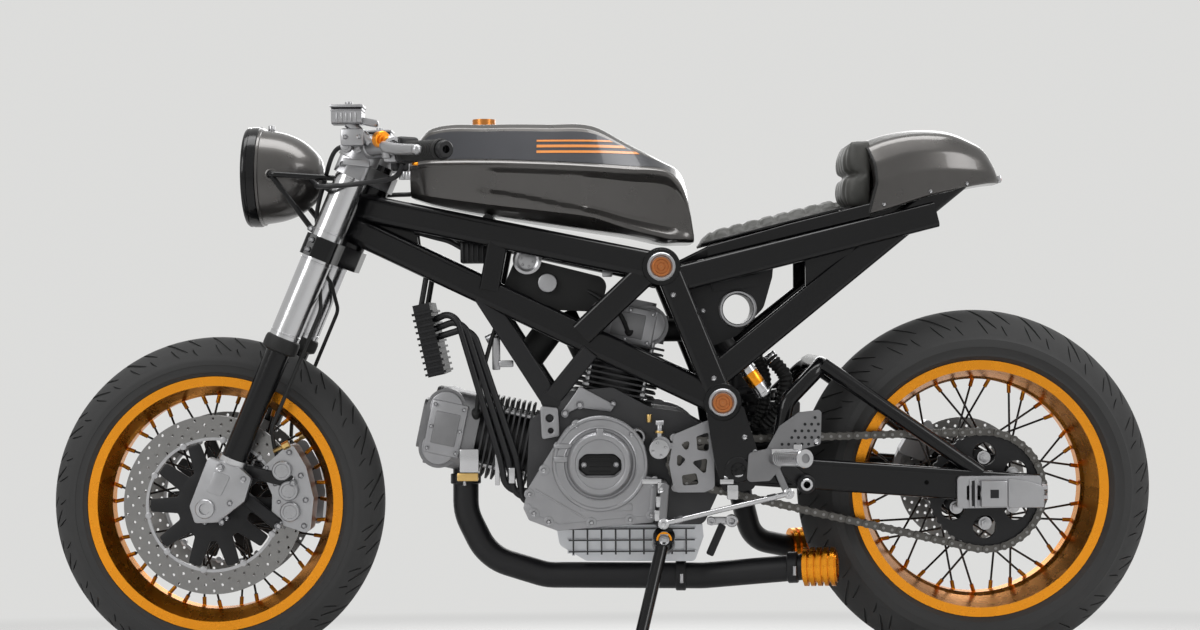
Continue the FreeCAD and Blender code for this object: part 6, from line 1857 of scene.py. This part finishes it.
def add_rearsets():
    """Pegs and heel guards on both sides, and the shift linkage."""
    bright, black, holes = fresh(3)
    start, end = Vector((308, -174, 384)), Vector((352, -260, 390))
    along = (end - start).normalized()
    profile = [(8, 12)]
    for k in range(13):
        at = 14 + 6 * k
        profile += [(13.4, at), (13.4, at + 3.8), (11.8, at + 4.6), (11.8, at + 5.4)]
    profile += [(15.5, 94), (16.5, 96), (15.5, 98.5), (8, 98.5)]
    spin(bright, profile, start, along, steps=26)
    for at in ring_of(start + along * 8, 9, 5, axis=along):
        rod(bright, at, at + along * 8, 3, segments=10)
    # Hinged foot of the peg, toe pieces and the hollow pivot bolt
    block(bright, (322, -178, 392), (40, 14, 20), chamfer=4)
    block(bright, (348, -180, 398), (16, 12, 22), chamfer=3)
    spin(bright, [(10.5, -168), (10.5, -182), (9.5, -183), (6.2, -183), (5.8, -180), (5.8, -168)], PEG_PIVOT,
         steps=32)
    spin(black, [(16, -150), (16, -177), (14, -179), (11, -179), (11, -150)], PEG_PIVOT, steps=32)
    bar(black, PEG_PIVOT + LEFT * 160, (322, -172, 372), 24, 8, chamfer=2.5)
    # Perforations of the heel guard as dark discs of painted shade, and its edge bolts
    for row in range(5):
        for k in range(6):
            x, z = 322 + 11.5 * k + 5.5 * (row % 2), 408 + 11.5 * row
            if z < 398 + (x - 306) * 0.9 and x < 388 and z < 462:
                rod(holes, (x, -171, z), (x, -172.8, z), 2.7, segments=10)
    for x, z in ((312, 384), (381, 414)):
        bolt(bright, (x, -172, z), LEFT, 5, 4)
    # Shift linkage on the left
    linkage = bmesh.new()
    rod(linkage, (119, -174, 273), (330, -176, 322), 4.6, segments=18)
    for x, z in ((116, 272), (333, 323)):
        spin(linkage, [(9.5, -178), (9.5, -170), (7.5, -168.5), (4.2, -168.5), (4.2, -179.5), (7.5, -179.5)],
             (x, 0, z), steps=24)
        bolt(linkage, (x, -178, z), LEFT, 4.5, 3)
    rod(linkage, (135, -174.4, 276.8), (150, -174.6, 280.2), 6.4, segments=6, chamfer=0.5)
    rod(linkage, (296, -175.7, 314.2), (311, -175.8, 317.6), 6.4, segments=6, chamfer=0.5)
    block(linkage, (96, -168, 345), (34, 10, 9), chamfer=2)
    for z in (334, 310, 286):
        block(linkage, (112 + (334 - z) * -0.12, -171, z), (12, 9, 19), chamfer=2)
    bolt(linkage, (112, -175, 332), LEFT, 5, 4)
    rod(linkage, (222, -166, 350), (322, -170, 359), 4, segments=16)
    block(linkage, (236, -172, 326), (20, 9, 26), chamfer=3)
    block(linkage, (226, -172, 344), (24, 8, 9), chamfer=2)
    mirror_across(bright, black, holes)
    add_piece("peg_knurls", bright, polished_alloy())
    add_piece("rearset_levers", black, satin_black())
    # Dark discs on the heel guards: painted shade standing for their holes
    add_piece("guard_hole_shade", holes, satin_black())
    add_piece("shift_linkage", linkage, polished_alloy())


class RACER_OT_rearsets(bpy.types.Operator):
    """Foot rests: knurled pegs, rod ends, shift linkage and perforated heel guards"""
    bl_idname = "racer.rearsets"
    bl_label = "Rearsets"

    def execute(self, context):
        add_rearsets()
        return {"FINISHED"}


def add_shock():
    """Shock reservoir with its band, and the two ribbed hoses beside it."""
    silver, gold, black = fresh(3)
    top, foot = Vector((257, -112, 552)), Vector((299, -112, 490))
    rod(silver, top, foot, 14, segments=32, chamfer=3)
    rod(gold, top.lerp(foot, 0.34), top.lerp(foot, 0.68), 14.6, segments=32, chamfer=0.8)
    for t in (0.08, 0.9):
        rod(silver, top.lerp(foot, t), top.lerp(foot, t + 0.06), 16, segments=32, chamfer=0.8)
    path = smooth_path([(312, -70, 556), (338, -76, 520), (330, -72, 470), (300, -60, 432)], 12)
    tube(black, path, 11, 16, ribs=2.6)
    path = smooth_path([(290, -40, 560), (304, -56, 520), (300, -60, 470), (286, -50, 432)], 12)
    tube(black, path, 9, 16, ribs=2.2)
    rod(silver, (318, -70, 548), (308, -68, 562), 12.5, segments=24, chamfer=1.5)
    add_piece("shock_reservoir", silver, polished_alloy())
    add_piece("shock_reservoir_band", gold, gold_anodised())
    add_piece("ribbed_hoses", black, rubber())


def add_axle_blocks():
    """Axle blocks with their adjusters, and the sprocket's bolts."""
    blocks, dark, bolts = fresh(3)
    x, z = REAR_AXLE.x, REAR_AXLE.z
    block(blocks, (x + 4, -168.5, z), (46, 13, 46), chamfer=2.5)
    block(blocks, (x - 26, -163.5, z), (5, 5, 50), chamfer=1.2)
    block(blocks, (x - 36, -163.5, z), (4, 5, 48), chamfer=1)
    plate(blocks, [(x + 29, z - 25), (x + 29, z + 26), (x + 60, z + 22), (x + 92, z + 12), (x + 92, z - 25)],
          -162.5, -167, corner=4, chamfer=1.5)
    # Dark slips on the axle blocks: painted shade for the gaps on the block's face and beside the adjusters
    block(dark, (x + 4, -174.6, z), (15, 2, 15), chamfer=0.8)
    block(dark, (x - 30, -162, z), (6, 4, 44), chamfer=0.6)
    for dz in (-14, 14):
        rod(bolts, (x + 92, -150, z + dz * 0.6), (x + 101, -150, z + dz * 0.6), 6, segments=6, chamfer=0.6)
    mirror_across(blocks, dark, bolts)
    add_piece("axle_blocks", blocks, satin_alloy())
    add_piece("axle_block_gap_shade", dark, satin_black())
    add_piece("adjuster_bolts", bolts, bolt_steel())
    bm = bmesh.new()
    face = bike_box("rear_sprocket")[0].y
    for at in ring_of(REAR_AXLE + Y_AXIS * face, 58, 6, start=0.25):
        rod(bm, at, at - Y_AXIS * 6, 8.5, segments=6, chamfer=0.7)
        rod(bm, at + Y_AXIS * 0.5, at - Y_AXIS * 1.2, 11.5, segments=24)
        rod(bm, at - Y_AXIS * 6, at - Y_AXIS * 8, 4.5, segments=16, chamfer=0.6)
    add_piece("sprocket_bolts", bm, bolt_steel(), "rear_wheel")


class RACER_OT_rear_end(bpy.types.Operator):
    """Axle blocks, adjusters, sprocket bolts, shock reservoir and hoses"""
    bl_idname = "racer.rear_end"
    bl_label = "Rear end"

    def execute(self, context):
        add_axle_blocks()
        add_shock()
        return {"FINISHED"}


def add_underside():
    """Stand's bolt, exhaust clamps, the sump's bracket, and dark lines of painted shade on the sump."""
    bolts, gold, black = fresh(3)
    # Stand's pivot bolt and washer, and the bracket behind the sump
    bolt(bolts, STAND_PIVOT - Y_AXIS * 13, LEFT, 9, 6)
    spin(gold, [(13.5, -163), (13.5, -166), (10, -166), (10, -163)], (STAND_PIVOT.x, 0, STAND_PIVOT.z),
         steps=30)
    for x, r in ((203, 7.5), (239, 11)):
        spin(bolts, [(r, -96), (r, -108), (r - 1.2, -109), (r * 0.55, -109), (r * 0.5, -106), (r * 0.5, -96)],
             (x, 0, 268.5), steps=28)
    bar(bolts, (196, -98, 268), (246, -98, 268), 14, 8, chamfer=2.5)
    bar(black, (223, -104, 262), (199, -104, 208), 14, 8, chamfer=3)
    # Exhaust clamps at the cylinder, the joint and the cans
    for at, along, r in (((-236, -31, 340), (0, 0.05, 1), 26), ((150, -67, 168), (1, -0.08, 0), 26),
                         ((346, -108, 186), (0.98, -0.2, 0.05), 26)):
        along = Vector(along).normalized()
        spin(black, [(r - 3, -9), (r, -9), (r + 1.4, -7.5), (r + 1.4, 7.5), (r, 9), (r - 3, 9)], at, along,
             steps=40)
        ear = Vector(at) + Vector((0, -r - 3, -2))
        rod(bolts, ear - Z_AXIS * 8, ear + Z_AXIS * 8, 3.6, segments=12, chamfer=0.5)
    # Thin dark strips on the sump's sides: painted shade for the shadowed recesses of its grid
    painted_shade_grid = bmesh.new()
    side = bike_box("sump")[0].y - 0.1
    for k in range(9):
        block(painted_shade_grid, (-41.5 + 25 * k, side, 232), (3.2, 0.8, 46), chamfer=0.3)
    for z in (214.5, 234.5, 254.5):
        block(painted_shade_grid, (62, side, z), (224, 0.8, 2.8), chamfer=0.3)
    mirror_across(painted_shade_grid)
    add_piece("sump_painted_shade_lines", painted_shade_grid, dark_cast())
    add_piece("underside_bolts", bolts, bolt_steel())
    add_piece("gold_fittings", gold, gold_anodised())
    add_piece("exhaust_clamps", black, satin_black())


class RACER_OT_underside(bpy.types.Operator):
    """Exhaust clamps, stand bolts, the sump's bracket and dark lines of painted shade on the sump"""
    bl_idname = "racer.underside"
    bl_label = "Exhaust and stand"

    def execute(self, context):
        add_underside()
        return {"FINISHED"}


class RACER_PT_panel(bpy.types.Panel):
    """List of the pieces and their sizes"""
    bl_idname = "RACER_PT_panel"
    bl_label = "Cafe racer"
    bl_space_type = "VIEW_3D"
    bl_region_type = "UI"
    bl_category = "Cafe racer"

    def draw(self, context):
        for name in GROUPS:
            group = getattr(context.scene, name)
            box = self.layout.box()
            for key in group.bl_rna.properties.keys():
                if key not in ("rna_type", "name"):
                    box.prop(group, key)
        for operator in STEPS:
            self.layout.operator(operator.bl_idname)


GROUPS = {"racer_stage": RacerStage, "racer_wheels": RacerWheels, "racer_tank": RacerTank,
          "racer_engine": RacerEngine, "racer_headlight": RacerHeadlight, "racer_seat": RacerSeat}
STEPS = [RACER_OT_finishes, RACER_OT_tyres, RACER_OT_discs, RACER_OT_chain, RACER_OT_tank,
         RACER_OT_engine_cover, RACER_OT_heads, RACER_OT_fork, RACER_OT_controls, RACER_OT_headlight,
         RACER_OT_seat, RACER_OT_tail, RACER_OT_frame, RACER_OT_rearsets, RACER_OT_rear_end,
         RACER_OT_underside, RACER_OT_stage]


def register():
    for name, group in GROUPS.items():
        bpy.utils.register_class(group)
        setattr(bpy.types.Scene, name, PointerProperty(type=group))
    for step in STEPS + [RACER_PT_panel]:
        bpy.utils.register_class(step)


def unregister():
    for step in [RACER_PT_panel] + STEPS[::-1]:
        bpy.utils.unregister_class(step)
    for name, group in GROUPS.items():
        delattr(bpy.types.Scene, name)
        bpy.utils.unregister_class(group)


def main():
    register()
    scene = bpy.context.scene
    scene.view_settings.view_transform = "Standard"
    for step in STEPS:
        prefix, name = step.bl_idname.split(".")
        getattr(getattr(bpy.ops, prefix), name)()


if __name__ == "__main__":
    main()
